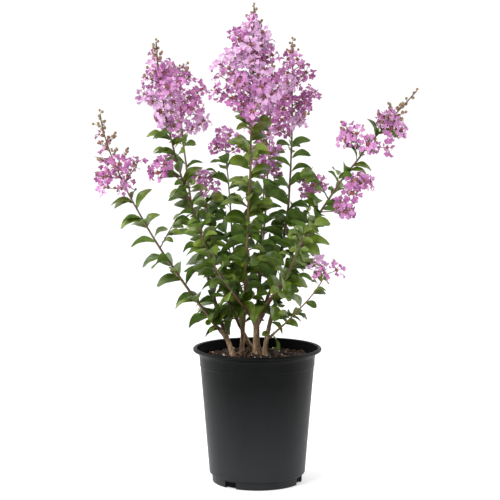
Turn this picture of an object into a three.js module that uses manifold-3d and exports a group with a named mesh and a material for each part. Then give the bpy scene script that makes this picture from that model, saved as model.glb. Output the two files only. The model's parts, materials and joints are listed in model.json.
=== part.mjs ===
// A young crape myrtle in flower, standing in a round nursery pot. Millimetres, +Z up.
// The origin is the centre of the pot's flat underside, and the shoots fan out along X.
//
// Five stems rise from the soil and fork into boughs. Each bough carries one mass of leaves,
// and most masses carry a panicle of six-petalled flowers that ends in a spike of round buds.
// Limbs, leaves and flowers all grow by the rules below from the sizes in the tables.

import * as THREE from 'three';
import { mergeVertices } from 'three/addons/utils/BufferGeometryUtils.js';
import Module from 'manifold-3d';

const wasm = await Module();
wasm.setup();
const { Manifold, Mesh: ManifoldMesh } = wasm;

// ---- Driving dimensions ----

const GAP = 0.3;                 // air between two solids that meet

const POT = {
  height: 242,
  rimRadius: 115,
  lipDepth: 6.5,                 // height of the rolled lip
  lipWidth: 6.5,                 // across its top
  lipRound: 2.5,                 // how far its top edge is rounded off
  lipUndercut: 1.5,              // how far its lower edge draws in
  lipFall: 1,                    // how far its top falls towards the inside
  neckRadius: 104,               // outside, where the lip curves into the wall
  neckDepth: 15.6,               // from the rim down to there
  bandRadius: 102.6,             // outside, at the bottom of the plain band under the lip
  bandBottom: 210,
  bandStep: 0.9,                 // how far the band stands proud of the wall below it
  wallBottomRadius: 86,          // outside, where the wall ends above the foot
  footHeight: 15,
  footRadius: 81.5,
  footDraft: 1,                  // how much narrower the foot is at its underside
  chamfer: 2.5,
  wall: 2.2,
  floor: 3,
  sides: 32,
};
const DRAIN = { azimuths: [-126, -22, 54, 158], width: 23, height: 12, depth: 9 };
const SOIL = { top: 226, shoulder: 5, slope: 7 };   // its edge falls by the shoulder over the slope

const BARK_SIDES = 8;
const STEM_SIDES = 3;            // of the stems inside leaves and panicles
const FLARE = { gain: 0.45, height: 9 };   // root flare, as a share of the radius
const SECTION = 40;              // height between two knots of a limb
const NEAR = 6;                  // least height between a knot and a limb's end
const TAPER = 1.8;               // limbs thin quickly at first, then slowly

// A leaf arches up by rise and down by drop, as shares of its length, and its root is sunk in.
const LEAF = {
  length: 52,
  aspect: 0.44,                  // width as a share of the length
  thickness: 1.9,
  crest: 0.5,                    // where it is thickest, as a share of the length
  rise: 0.2,
  drop: 0.27,
  sunk: 0.9,
  roll: [0.45, 1.15],            // how far it turns to face out of the plant, in radians
  lean: [0.25, 0.7],             // how far it leans along its stem, as a share of its reach
  vary: [0.85, 1.12],            // size of one leaf against the next
};
const LEAF_STATIONS = [[0.3, 0.74], [0.66, 0.94]];   // share of the length, share of the width
const PAIRS = {
  spacing: 33,
  stagger: 0.3,                  // between the two leaves of a pair, as a share of the spacing
  start: 0.35,                   // azimuth of the first pair, in radians
  wander: 0.5,                   // how far a pair strays from it
  skew: 0.3,                     // how far one leaf strays from its pair
  largest: 0.4,                  // where the largest leaves grow, as a share of the height
  dwindle: 0.35,                 // how much smaller they are at half the height from there
  bulge: 1.5,                    // how long they stay large, as a power
};
const TWIG = {
  odds: 0.1,                     // how many leaves stand on a side twig's place
  highest: 0.7,                  // no twig above this share of the height
  length: 56,
  radius: 1.3,
  shoulder: 5,                   // how far from its root it is thickest
  leaves: 3,
  last: 0.86,                    // where its last leaf stands, as a share of its length
  leafScale: 0.8,
  leafLean: 0.7,
  spread: [1.25, 0.65],          // azimuth of its first and last leaf against its own
};

const FLOWER = {
  radius: 16.5,
  depth: 12,                     // from its root to its rim
  crinkle: 3.2,                  // how far the rim waves up and down
  dish: 2.6,                     // how far the middle lies below the rim
  throat: 0.9,                   // radius of the throat, halfway up
  sunk: 1.5,                     // how far the root of a stem's last flower is sunk in
  vary: [0.88, 1.1],             // size of one flower against the next
};
const BUD = {
  radius: 3.1,
  length: 10,                    // with its stalk
  spacing: 6,                    // height from one bud of a spike to the next
  lean: 0.8,
  taper: [1.15, 0.75],           // size of the lowest and the highest bud of a spike
  vary: [0.9, 1.15],
  last: 0.7,                     // size of the bud at the very tip
};
const BRANCH = {
  radius: 1.5,
  past: 6,                       // how far its wood reaches past the root of its last flower
  lean: 0.55,                    // how far it leans along its stem, as a share of its reach
  fork: 1.1,                     // how far the side flowers turn away from it
  lift: 0.25,                    // how far all its flowers turn up
  sway: [0.5, 0.25],             // how far they stray, and how much further at each turn
  shrink: 0.08,                  // how much smaller a flower is after each turn
  turns: 4,                      // how many ways a flower turns before it is skipped
  wander: 0.3,                   // how far a branch strays from its azimuth, in radians
  vary: [0.85, 1.1],             // length of one branch against the next
};
const BRANCH_PLACES = [[0.98, 0], [0.76, -1], [0.56, 1]];   // share of the length, and the side
const STALK = { radius: 1.8, bare: 0.55, past: 6, lean: 0.7, budShare: 0.05 };
const GOLDEN_ANGLE = Math.PI * (3 - Math.sqrt(5));

// Each shoot rises from its foot, or from its parent at a height, to its tip. Its sideways
// reach comes early (it leans at once, then stands up) or late (it stands, then leans out),
// as a power of the height climbed. Wood ends where the leaves begin, and leaves end where
// the panicle begins. Where a shoot leans out alone, spread is how far its leaves turn to its
// two sides, from 0 for not at all to 1.
const SHOOTS = {
  trunk: { foot: [-2, 5], tip: [-1, 7, 302], early: 1, radius: [6.6, 5.2] },
  left_back: {
    foot: [-43, 2], tip: [-143, 134, 742], early: 2.1, radius: [4.2, 1.3],
    leaves: 268, bloom: 610, spread: 0.6,
  },
  left_tall: {
    foot: [-9, 60], tip: [-174, -62, 781], early: 1.6, radius: [3.6, 1.3],
    leaves: 266, bloom: 622,
  },
  centre: {
    foot: [-28, 40], tip: [-6, -78, 840], early: 1.5, radius: [3.8, 1.4],
    leaves: 268, bloom: 640,
  },
  right: {
    foot: [14, 3], tip: [282, -4, 700], late: 1.65, radius: [4.3, 1.2],
    leaves: 276, bloom: 622, spread: 0.8,
  },
  far_left: {
    from: ['left_back', 252], tip: [-273, -46, 660], early: 1.45, radius: [3.0, 1.1],
    leaves: 272, bloom: 512, spread: 0.9,
  },
  left_middle: {
    from: ['trunk', 282], tip: [-92, 30, 545], early: 2.3, radius: [2.8, 1.1],
    leaves: 322, bloom: 508,
  },
  centre_left: {
    from: ['centre', 256], tip: [-58, 66, 616], early: 1.2, radius: [2.6, 1.1],
    leaves: 300, bloom: 578,
  },
  right_tall: {
    from: ['trunk', 286], tip: [63, 60, 789], early: 4.2, radius: [3.2, 1.2],
    leaves: 332, bloom: 608, spread: 0.7,
  },
  middle_back: {
    from: ['trunk', 292], tip: [17, 75, 616], early: 1.1, radius: [2.9, 1.1],
    leaves: 330, bloom: 538,
  },
  back: {
    from: ['trunk', 262], tip: [30, 186, 752], early: 1.3, radius: [3.0, 1.2],
    leaves: 322, bloom: 604,
  },
  back_left: {
    from: ['trunk', 272], tip: [-64, 142, 478], early: 1.5, radius: [2.6, 1.0],
    leaves: 318,
  },
  back_right: {
    from: ['trunk', 276], tip: [104, 76, 534], early: 1.4, radius: [2.6, 1.0],
    leaves: 316, bloom: 498,
  },
  right_low: {
    from: ['right', 254], tip: [117, -98, 389], early: 1.3, radius: [2.2, 0.9],
    leaves: 276, bloom: 374, spread: 0.8,
  },
  front_left: {
    from: ['trunk', 290], tip: [-96, -104, 462], early: 1.5, radius: [2.6, 1.0],
    leaves: 312,
  },
  front_right: {
    from: ['trunk', 296], tip: [76, -112, 452], early: 1.4, radius: [2.7, 1.0],
    leaves: 314,
  },
};

// Panicles: branches is the number of flowering branches, reach the length of the lowest,
// top the length of the highest, spike the height of the bare spike of buds, budShare how
// many of the flower places hold buds instead, heavy the side that grows further out, as an
// azimuth in degrees with the share that it gains, and drawnIn the share that the lowest
// branches are shorter by where a panicle narrows at its foot.
const PANICLES = {
  centre: {
    branches: 18, reach: 74, top: 18, spike: 40, budShare: 0.05, heavy: [180, 0.2],
    drawnIn: 0.25,
  },
  left_tall: {
    branches: 10, reach: 52, top: 14, spike: 36, budShare: 0.1, heavy: [180, 0.1], drawnIn: 0.4,
  },
  left_back: {
    branches: 10, reach: 48, top: 12, spike: 6, budShare: 0.1, heavy: [-10, 0.4], drawnIn: 0.15,
  },
  far_left: { branches: 10, reach: 44, top: 10, spike: 52, budShare: 0.35, heavy: [0, 0.1] },
  right_tall: { branches: 10, reach: 49, top: 12, spike: 34, budShare: 0.1, heavy: [0, 0.4] },
  right: { branches: 5, reach: 29, top: 12, spike: 48, budShare: 0.15 },
  right_low: { branches: 3, reach: 22, top: 14, spike: 0, budShare: 0 },
  left_middle: { branches: 3, reach: 19, top: 14, spike: 0, budShare: 0 },
  centre_left: { branches: 3, reach: 23, top: 14, spike: 0, budShare: 0 },
  middle_back: { branches: 4, reach: 28, top: 14, spike: 0, budShare: 0.1 },
  back_right: { branches: 3, reach: 22, top: 14, spike: 0, budShare: 0.1 },
  back: { branches: 7, reach: 42, top: 12, spike: 32, budShare: 0.1 },
};

// Side panicles stand on a stalk from a leafy stem at a height, and open near their tip.
const SIDE_PANICLES = {
  right_inner: { from: ['right', 588], tip: [164, -22, 626], branches: 3, reach: 16, top: 14 },
  right_outer: { from: ['right', 606], tip: [210, -30, 599], branches: 2, reach: 15, top: 14 },
  right_middle: { from: ['right', 520], tip: [182, -42, 540], branches: 4, reach: 22, top: 14 },
  right_under: { from: ['right', 484], tip: [160, -50, 490], branches: 3, reach: 20, top: 14 },
  left_side: { from: ['left_tall', 540], tip: [-170, -64, 568], branches: 3, reach: 20, top: 14 },
};

// ---- Seeded numbers ----

const SEEDS = { panicles: 11, sidePanicles: 41, leaves: 71 };

// Park and Miller's generator, so that the same plant grows each time.
function seeded(seed) {
  let state = seed * 7919 + 17;
  return () => {
    state = (state * 16807) % 2147483647;
    return state / 2147483647;
  };
}

function between(random, low, high) {
  return low + (high - low) * random();
}

// ---- Solids ----

function solidFrom(geometry) {
  geometry.deleteAttribute('normal');
  geometry.deleteAttribute('uv');
  const merged = mergeVertices(geometry, 1e-4);
  return new Manifold(new ManifoldMesh({
    numProp: 3,
    vertProperties: new Float32Array(merged.attributes.position.array),
    triVerts: new Uint32Array(merged.index.array),
  }));
}

function geometryFrom(solid) {
  const mesh = solid.getMesh();
  const geometry = new THREE.BufferGeometry();
  geometry.setAttribute('position', new THREE.BufferAttribute(mesh.vertProperties, mesh.numProp));
  geometry.setIndex(new THREE.BufferAttribute(mesh.triVerts, 1));
  geometry.computeVertexNormals();
  return geometry;
}

// A closed solid between a rim of points, anticlockwise from above, and two poles.
function lens(rim, top, bottom) {
  const triangles = rim.flatMap((_, i) => {
    const next = (i + 1) % rim.length;
    return [i, next, rim.length, next, i, rim.length + 1];
  });
  const points = [...rim, top, bottom];
  return solidFrom(new THREE.BufferGeometry().setFromPoints(points).setIndex(triangles));
}

// A placement with Z along a direction.
function upright(direction, origin) {
  const turn = new THREE.Quaternion().setFromUnitVectors(new THREE.Vector3(0, 0, 1), direction);
  return new THREE.Matrix4().makeRotationFromQuaternion(turn).setPosition(origin);
}

// Points round a placed axis, each as far along it as along(i) says.
function ring(place, count, radius, along) {
  return Array.from({ length: count }, (_, i) => {
    const angle = 2 * Math.PI * i / count;
    return new THREE.Vector3(radius * Math.cos(angle), radius * Math.sin(angle), along(i))
      .applyMatrix4(place);
  });
}

// A round limb along a path between two heights, with flat ends. A rooted limb has a level foot.
function limb(path, bottom, top, radiusAt, sides, level = false) {
  const heights = [bottom, ...path.knotsBetween(bottom, top), top];
  const rings = heights.length - 1;
  const geometry = new THREE.CylinderGeometry(1, 1, rings, sides, rings).rotateX(Math.PI / 2);
  const position = geometry.attributes.position;
  const up = new THREE.Vector3(0, 0, 1);
  for (let i = 0; i < position.count; i += 1) {
    const height = heights[Math.round(position.getZ(i) + rings / 2)];
    const axis = level && height === bottom ? up : path.directionAt(height);
    const point = new THREE.Vector3(position.getX(i), position.getY(i), 0)
      .multiplyScalar(radiusAt(height))
      .applyQuaternion(new THREE.Quaternion().setFromUnitVectors(up, axis))
      .add(path.atHeight(height));
    position.setXYZ(i, ...point);
  }
  return solidFrom(geometry);
}

// ---- Paths ----

class ShootPath extends THREE.Curve {
  constructor(foot, tip, { early, late }) {
    super();
    this.foot = foot;
    this.tip = tip;
    this.reachAt = (t) => (late ? t ** late : 1 - (1 - t) ** early);
    this.sections = Math.max(1, Math.round((tip.z - foot.z) / SECTION));
  }

  getPoint(t, target = new THREE.Vector3()) {
    target.lerpVectors(this.foot, this.tip, this.reachAt(t));
    target.z = THREE.MathUtils.lerp(this.foot.z, this.tip.z, t);
    return target;
  }

  // The axis of the faceted limb: straight between one knot and the next.
  atHeight(height) {
    const knot = this.fraction(height) * this.sections;
    const below = Math.min(Math.floor(knot), this.sections - 1);
    const start = this.getPoint(below / this.sections);
    return start.lerp(this.getPoint((below + 1) / this.sections), knot - below);
  }

  knotsBetween(bottom, top) {
    const knots = Array.from({ length: this.sections + 1 }, (_, i) => (
      THREE.MathUtils.lerp(this.foot.z, this.tip.z, i / this.sections)));
    return knots.filter((height) => height > bottom + NEAR && height < top - NEAR);
  }

  directionAt(height) {
    const step = 0.005;
    const t = THREE.MathUtils.clamp(this.fraction(height), step, 1 - step);
    return this.getPoint(t + step).sub(this.getPoint(t - step)).normalize();
  }

  fraction(height) {
    return THREE.MathUtils.clamp((height - this.foot.z) / (this.tip.z - this.foot.z), 0, 1);
  }
}

const paths = {};
for (const [name, shoot] of Object.entries(SHOOTS)) {
  const foot = shoot.from
    ? paths[shoot.from[0]].atHeight(shoot.from[1])
    : new THREE.Vector3(...shoot.foot, SOIL.top + GAP);
  paths[name] = new ShootPath(foot, new THREE.Vector3(...shoot.tip), shoot);
}

function radiusOf(name, extra = 0) {
  const { radius, from } = SHOOTS[name];
  const { foot, tip } = paths[name];
  return (height) => {
    const t = THREE.MathUtils.clamp((height - foot.z) / (tip.z - foot.z), 0, 1);
    const flare = from ? 0 : FLARE.gain * Math.exp(-(height - foot.z) / FLARE.height);
    return (radius[1] + (radius[0] - radius[1]) * (1 - t) ** TAPER) * (1 + flare) + extra;
  };
}

// ---- What stands where ----

// Every small solid that is kept, with the node that it belongs to.
const kept = [];

function boxOf(solid) {
  const { min, max } = solid.boundingBox();
  return new THREE.Box3(new THREE.Vector3(...min), new THREE.Vector3(...max));
}

function keep(owner, solid) {
  const item = { owner, solid, box: boxOf(solid) };
  kept.push(item);
  return item;
}

// Keeps a solid if its grown twin stands clear of everything but the piece that it grows on.
// Gives the kept item, or undefined where the solid is skipped.
function keepIfClear(host, make) {
  const grown = make(GAP);
  const box = boxOf(grown);
  const touched = kept.some((item) => item !== host && item.box.intersectsBox(box)
    && !item.solid.intersect(grown).isEmpty());
  return touched ? undefined : keep(host.owner, make(0));
}

function fused(owner) {
  const solids = kept.filter((item) => item.owner === owner).map((item) => item.solid);
  const [largest] = Manifold.union(solids).decompose().sort((a, b) => b.volume() - a.volume());
  return largest;
}

// ---- Pot and soil ----

// Turns a profile of [radius, height] points round the Z axis.
function turned(profile) {
  const points = profile.map(([radius, z]) => new THREE.Vector2(radius, z));
  return solidFrom(new THREE.LatheGeometry(points, POT.sides).rotateX(Math.PI / 2));
}

// The inside of the pot's wall, from the neck down to the floor.
function innerWall() {
  return [
    [POT.neckRadius - POT.wall, POT.height - POT.neckDepth],
    [POT.wallBottomRadius - POT.wall, POT.footHeight + POT.chamfer],
    [POT.footRadius - POT.wall, POT.footHeight - POT.chamfer],
    [POT.footRadius - POT.wall, POT.floor],
  ];
}

function potSolid() {
  const shell = turned([
    [0, 0],
    [POT.footRadius - POT.footDraft, 0],
    [POT.footRadius, POT.footHeight],
    [POT.wallBottomRadius - POT.chamfer, POT.footHeight],
    [POT.wallBottomRadius, POT.footHeight + POT.chamfer],
    [POT.bandRadius - POT.bandStep, POT.bandBottom - POT.bandStep],
    [POT.bandRadius, POT.bandBottom],
    [POT.neckRadius, POT.height - POT.neckDepth],
    [POT.rimRadius - POT.lipUndercut, POT.height - POT.lipDepth],
    [POT.rimRadius, POT.height - POT.lipDepth / 2],
    [POT.rimRadius - POT.lipRound, POT.height],
    [POT.rimRadius - POT.lipWidth, POT.height - POT.lipFall],
    ...innerWall(),
    [0, POT.floor],
  ]);
  const notches = DRAIN.azimuths.map((azimuth) => {
    const notch = new THREE.BoxGeometry(2 * DRAIN.depth, DRAIN.width, 2 * DRAIN.height);
    notch.translate(POT.footRadius, 0, 0).rotateZ(THREE.MathUtils.degToRad(azimuth));
    return solidFrom(notch);
  });
  return shell.subtract(Manifold.union(notches));
}

// The soil fills the pot, a gap clear of its wall and floor, and falls away a little at its edge.
function soilSolid() {
  const [neck, wallBottom, footTop, floor] = innerWall();
  const edge = SOIL.top - SOIL.shoulder;
  const edgeRadius = THREE.MathUtils.mapLinear(
    edge, wallBottom[1], neck[1], wallBottom[0], neck[0]) - GAP;
  return turned([
    [0, floor[1] + GAP],
    [floor[0] - GAP, floor[1] + GAP],
    [footTop[0] - GAP, footTop[1]],
    [edgeRadius, edge],
    [edgeRadius - SOIL.slope, SOIL.top],
    [0, SOIL.top],
  ]);
}

// ---- Wood ----

// The limb of a shoot, cut clear of its parent and of every limb before it.
function woodSolid(name) {
  const { leaves = paths[name].tip.z } = SHOOTS[name];
  const { foot } = paths[name];
  const rooted = !SHOOTS[name].from;
  const solid = limb(paths[name], foot.z, leaves, radiusOf(name), BARK_SIDES, rooted);
  const others = Object.keys(SHOOTS).slice(0, Object.keys(SHOOTS).indexOf(name));
  const grown = others.map((other) => limb(
    paths[other], paths[other].foot.z, paths[other].tip.z, radiusOf(other, GAP), BARK_SIDES,
    !SHOOTS[other].from));
  if (grown.length === 0) return solid;
  const pieces = solid.subtract(Manifold.union(grown)).decompose();
  return pieces.sort((a, b) => b.boundingBox().max[2] - a.boundingBox().max[2])[0];
}

// ---- Leaves ----

// The level direction from the middle of the plant to a point.
function outOfPlant(point) {
  return new THREE.Vector3(point.x, point.y, 0).normalize();
}

// One leaf: an arching blade with six points in its outline, crested above and flat beneath.
// It turns about its own line so that its upper face looks out of the plant.
function blade(origin, direction, length, roll, grow) {
  const above = new THREE.Vector3(0, 0, 1).addScaledVector(direction, -direction.z).normalize();
  const level = new THREE.Vector3().crossVectors(above, direction);
  const turn = Math.sign(-level.dot(outOfPlant(origin))) * roll;
  const across = level.clone().applyAxisAngle(direction, turn);
  const normal = above.clone().applyAxisAngle(direction, turn);
  const point = (f, aside, height) => origin.clone()
    .addScaledVector(direction, f * length - LEAF.sunk)
    .addScaledVector(above, length * (LEAF.rise * f - LEAF.drop * f * f))
    .addScaledVector(across, aside)
    .addScaledVector(normal, height);
  const half = LEAF.aspect * length / 2;
  const edge = (sign) => LEAF_STATIONS.map(
    ([f, share]) => point(f, sign * (share * half + grow), 0));
  const rim = [point(0, 0, 0), ...edge(-1), point(1 + grow / length, 0, 0), ...edge(1).reverse()];
  const crest = point(LEAF.crest, 0, LEAF.thickness + grow);
  const triangles = [0, 5, 1, 5, 4, 1, 4, 2, 1, 4, 3, 2];   // the flat underside
  for (let i = 0; i < 6; i += 1) triangles.push(i, (i + 1) % 6, 6);
  return solidFrom(new THREE.BufferGeometry().setFromPoints([...rim, crest]).setIndex(triangles));
}

// The outward direction from a limb, at an azimuth, leaning along the limb by a share.
function outward(axis, azimuth, along) {
  const side = new THREE.Vector3(Math.cos(azimuth), Math.sin(azimuth), 0);
  side.addScaledVector(axis, -side.dot(axis)).normalize();
  return side.addScaledVector(axis, along).normalize();
}

// A straight three-sided twig, pointed at both ends, that is thickest just outside its root.
function twig(origin, direction, length, radius, grow = 0) {
  const place = upright(direction, origin);
  const rim = ring(place, 3, radius + grow, () => TWIG.shoulder);
  return lens(rim, new THREE.Vector3(0, 0, length + grow).applyMatrix4(place), origin);
}

function growLeafyTwig(stem, origin, direction, random) {
  const wood = keepIfClear(stem, (grow) => twig(
    origin, direction, TWIG.length, TWIG.radius, grow));
  if (!wood) return;
  for (let i = 0; i < TWIG.leaves; i += 1) {
    const share = (i + 1) / TWIG.leaves;
    const start = origin.clone().addScaledVector(direction, TWIG.length * share * TWIG.last);
    const spread = THREE.MathUtils.lerp(...TWIG.spread, share) * (i % 2 ? 1 : -1);
    const azimuth = Math.atan2(direction.y, direction.x) + spread;
    const leafDirection = outward(direction, azimuth, TWIG.leafLean);
    const length = LEAF.length * TWIG.leafScale * between(random, ...LEAF.vary);
    const roll = between(random, ...LEAF.roll);
    keepIfClear(wood, (grow) => blade(start, leafDirection, length, roll, grow));
  }
}

// Pairs of leaves up a shoot, each pair turned across the last, with a side twig here and there.
function growLeaves(name, stem, seed) {
  const random = seeded(seed);
  const path = paths[name];
  const { leaves, bloom = path.tip.z, spread = 0 } = SHOOTS[name];
  const pairs = Math.round((bloom - leaves) / PAIRS.spacing);
  for (let pair = 0; pair < pairs; pair += 1) {
    const share = (pair + 0.5) / pairs;
    const middle = THREE.MathUtils.lerp(leaves, bloom, share);
    const turn = (pair % 2) * Math.PI / 2 + between(random, -PAIRS.wander, PAIRS.wander) + PAIRS.start;
    for (const half of [0, 1]) {
      const height = middle + (half - 0.5) * PAIRS.spacing * PAIRS.stagger;
      const grown = turn + half * Math.PI + between(random, -PAIRS.skew, PAIRS.skew);
      const azimuth = grown - spread * Math.sin(2 * grown) / 2;
      const fade = PAIRS.dwindle * Math.abs(2 * (share - PAIRS.largest)) ** PAIRS.bulge;
      const length = LEAF.length * (1 - fade) * between(random, ...LEAF.vary);
      const start = path.atHeight(height);
      const direction = outward(path.directionAt(height), azimuth, between(random, ...LEAF.lean));
      const roll = between(random, ...LEAF.roll);
      if (random() < TWIG.odds && share < TWIG.highest) growLeafyTwig(stem, start, direction, random);
      else keepIfClear(stem, (grow) => blade(start, direction, length, roll, grow));
    }
  }
}

// ---- Flowers ----

// One flower: a slim three-sided throat that opens to a crinkled rim of six petals.
function flower(origin, direction, scale, grow) {
  const place = upright(direction, origin);
  const at = (along) => new THREE.Vector3(0, 0, along).applyMatrix4(place);
  const rim = ring(place, 6, FLOWER.radius * scale + grow,
    (i) => (FLOWER.depth + (i % 2 ? 1 : -1) * FLOWER.crinkle / 2) * scale);
  const throat = ring(place, 3, FLOWER.throat + grow, () => FLOWER.depth * scale / 2);
  const middle = at((FLOWER.depth - FLOWER.dish) * scale + grow);
  const points = [...rim, ...throat, middle, at(0)];
  const triangles = [];
  for (let i = 0; i < 6; i += 1) {
    const next = (i + 1) % 6;
    triangles.push(i, next, 9, next, i, 6 + ((i + 1) >> 1) % 3);
  }
  for (let i = 0; i < 3; i += 1) {
    const next = (i + 1) % 3;
    triangles.push(2 * i + 1, 6 + i, 6 + next, 6 + next, 6 + i, 10);
  }
  return solidFrom(new THREE.BufferGeometry().setFromPoints(points).setIndex(triangles));
}

// One bud on its stalk, round at the far end.
function bud(origin, direction, scale, grow) {
  const place = upright(direction, origin);
  const rim = ring(place, 4, BUD.radius * scale + grow, () => (BUD.length - BUD.radius) * scale);
  const top = new THREE.Vector3(0, 0, BUD.length * scale + grow).applyMatrix4(place);
  return lens(rim, top, origin);
}

// One flowering branch: a flower at its tip and two on its sides, or buds in their places.
// A flower that finds its place taken turns another way, a few times, before it is skipped.
function growBranch(stem, origin, direction, length, budShare, random) {
  const wood = keepIfClear(stem, (grow) => twig(
    origin, direction, length + BRANCH.past, BRANCH.radius, grow));
  if (!wood) return;
  const across = new THREE.Vector3(-direction.y, direction.x, 0).normalize();
  for (const [share, side] of BRANCH_PLACES) {
    const start = origin.clone().addScaledVector(direction, length * share);
    const make = random() < budShare ? bud : flower;
    for (let turn = 0; turn < BRANCH.turns; turn += 1) {
      const fork = side * (turn % 2 ? -1 : 1) * BRANCH.fork;
      const sway = BRANCH.sway[0] + BRANCH.sway[1] * turn;
      const stray = new THREE.Vector3(
        between(random, -sway, sway), between(random, -sway, sway), BRANCH.lift);
      const aim = direction.clone().addScaledVector(across, fork).add(stray).normalize();
      const scale = between(random, ...FLOWER.vary) * (1 - BRANCH.shrink * turn);
      if (keepIfClear(wood, (grow) => make(start, aim, scale, grow))) break;
    }
  }
}

// The spike of buds at the top of a panicle, smaller towards the tip.
function growSpike(stem, path, bottom, top, random) {
  const buds = Math.round((top - bottom) / BUD.spacing);
  for (let i = 0; i < buds; i += 1) {
    const share = (i + 0.5) / buds;
    const height = THREE.MathUtils.lerp(bottom, top, share);
    const direction = outward(path.directionAt(height), i * GOLDEN_ANGLE, BUD.lean);
    const scale = THREE.MathUtils.lerp(...BUD.taper, share) * between(random, ...BUD.vary);
    keepIfClear(stem, (grow) => bud(path.atHeight(height), direction, scale, grow));
  }
  const last = path.atHeight(top - 1);
  keepIfClear(stem, (grow) => bud(last, path.directionAt(top), BUD.last, grow));
}

// Branches up a stem by the golden angle, shorter towards the top, then the spike of buds.
function growPanicle(stem, path, bottom, top, sizes, seed) {
  const { branches, reach, spike, budShare, heavy = [0, 0], drawnIn = 0 } = sizes;
  const random = seeded(seed);
  for (let i = 0; i < branches; i += 1) {
    const share = i / branches;
    const height = THREE.MathUtils.lerp(bottom + NEAR, top - spike, share);
    const azimuth = i * GOLDEN_ANGLE + seed + between(random, -BRANCH.wander, BRANCH.wander);
    const gain = 1 + heavy[1] * Math.cos(azimuth - THREE.MathUtils.degToRad(heavy[0]));
    const foot = 1 - drawnIn * (1 - share) ** 4;
    const size = gain * foot * between(random, ...BRANCH.vary);
    const length = THREE.MathUtils.lerp(reach, sizes.top, share) * size;
    const direction = outward(path.directionAt(height), azimuth, BRANCH.lean);
    growBranch(stem, path.atHeight(height), direction, length, budShare, random);
  }
  if (spike) {
    growSpike(stem, path, top - spike, top, random);
  } else {
    const last = path.atHeight(top - FLOWER.sunk);
    keepIfClear(stem, (grow) => flower(last, path.directionAt(top), 1, grow));
  }
}

// A side panicle's stalk leaves the leafy stem at its side, a gap clear of it. It may slope
// down or lie level, so it is a straight twig and not a limb between two heights.
function sideStalk(path, parent) {
  const along = path.tip.clone().sub(path.foot);
  const length = along.length() + STALK.past;
  const stalk = twig(path.foot, along.normalize(), length, STALK.radius);
  const { leaves, bloom } = SHOOTS[parent];
  const grown = limb(paths[parent], leaves, bloom, radiusOf(parent, 2 * GAP), STEM_SIDES);
  const pieces = stalk.subtract(grown).decompose();
  return pieces.sort((a, b) => b.volume() - a.volume())[0];
}

function growSidePanicle(stem, path, { branches, reach, top }, seed) {
  const random = seeded(seed);
  const along = path.tip.clone().sub(path.foot);
  const axis = along.clone().normalize();
  for (let i = 0; i < branches; i += 1) {
    const share = i / branches;
    const place = THREE.MathUtils.lerp(STALK.bare, 1, share);
    const start = path.foot.clone().addScaledVector(along, place);
    const direction = outward(axis, i * GOLDEN_ANGLE + seed, STALK.lean);
    const length = THREE.MathUtils.lerp(reach, top, share);
    growBranch(stem, start, direction, length, STALK.budShare, random);
  }
  const last = path.tip.clone().addScaledVector(axis, -FLOWER.sunk);
  keepIfClear(stem, (grow) => flower(last, axis, 1, grow));
}

// ---- The whole plant ----

const finishes = {
  pot: { color: 0x2e2e30, roughness: 0.55, metalness: 0 },
  soil: { color: 0x3b2a20, roughness: 0.95, metalness: 0 },
  bark: { color: 0x6a5842, roughness: 0.85, metalness: 0 },
  leaf: { color: 0x4a6324, roughness: 0.5, metalness: 0 },
  blossom: { color: 0xc084bd, roughness: 0.6, metalness: 0 },
};

function finishOf(name) {
  if (name === 'pot' || name === 'soil') return name;
  if (name.endsWith('_leaves')) return 'leaf';
  return name.endsWith('_panicle') ? 'blossom' : 'bark';
}

keep('pot', potSolid());
keep('soil', soilSolid());
for (const name of Object.keys(SHOOTS)) {
  keep(SHOOTS[name].leaves ? `${name}_bough` : name, woodSolid(name));
}

// Stems first, so that no leaf or flower of a neighbour takes their place.
const leafyStems = {};
const flowerStems = {};
for (const [name, { leaves, bloom }] of Object.entries(SHOOTS)) {
  if (!leaves) continue;
  const path = paths[name];
  const end = bloom ?? path.tip.z;
  const leafyStem = limb(path, leaves + GAP, end, radiusOf(name), STEM_SIDES);
  leafyStems[name] = keep(`${name}_leaves`, leafyStem);
  if (bloom) {
    const flowerStem = limb(path, bloom + GAP, path.tip.z, radiusOf(name), STEM_SIDES);
    flowerStems[name] = keep(`${name}_panicle`, flowerStem);
  }
}
const sidePaths = {};
for (const [name, { from: [parent, height], tip }] of Object.entries(SIDE_PANICLES)) {
  const foot = paths[parent].atHeight(height);
  sidePaths[name] = new ShootPath(foot, new THREE.Vector3(...tip), { early: 1 });
  flowerStems[name] = keep(`${name}_panicle`, sideStalk(sidePaths[name], parent));
}

Object.entries(PANICLES).forEach(([name, sizes], i) => {
  const path = paths[name];
  growPanicle(flowerStems[name], path, SHOOTS[name].bloom, path.tip.z, sizes, i + SEEDS.panicles);
});
Object.entries(SIDE_PANICLES).forEach(([name, sizes], i) => {
  growSidePanicle(flowerStems[name], sidePaths[name], sizes, i + SEEDS.sidePanicles);
});
Object.keys(SHOOTS).forEach((name, i) => {
  if (SHOOTS[name].leaves) growLeaves(name, leafyStems[name], i + SEEDS.leaves);
});

const plant = new THREE.Group();
for (const name of new Set(kept.map((item) => item.owner))) {
  const material = new THREE.MeshStandardMaterial(finishes[finishOf(name)]);
  const mesh = new THREE.Mesh(geometryFrom(fused(name)), material);
  mesh.name = name;
  plant.add(mesh);
}

export default plant;
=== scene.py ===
"""The looks of a young crape myrtle in flower, standing in a round nursery pot.

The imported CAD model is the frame. The tables below repeat the plant's own sizes in millimetres,
and its limbs, leaves and flowers grow here by the same seeded rule, carried on to finer twigs.
Blender's own lengths are metres, so every mesh is scaled by MM as it is made.
"""

import json
import math
from itertools import zip_longest
from types import SimpleNamespace as Values

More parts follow.
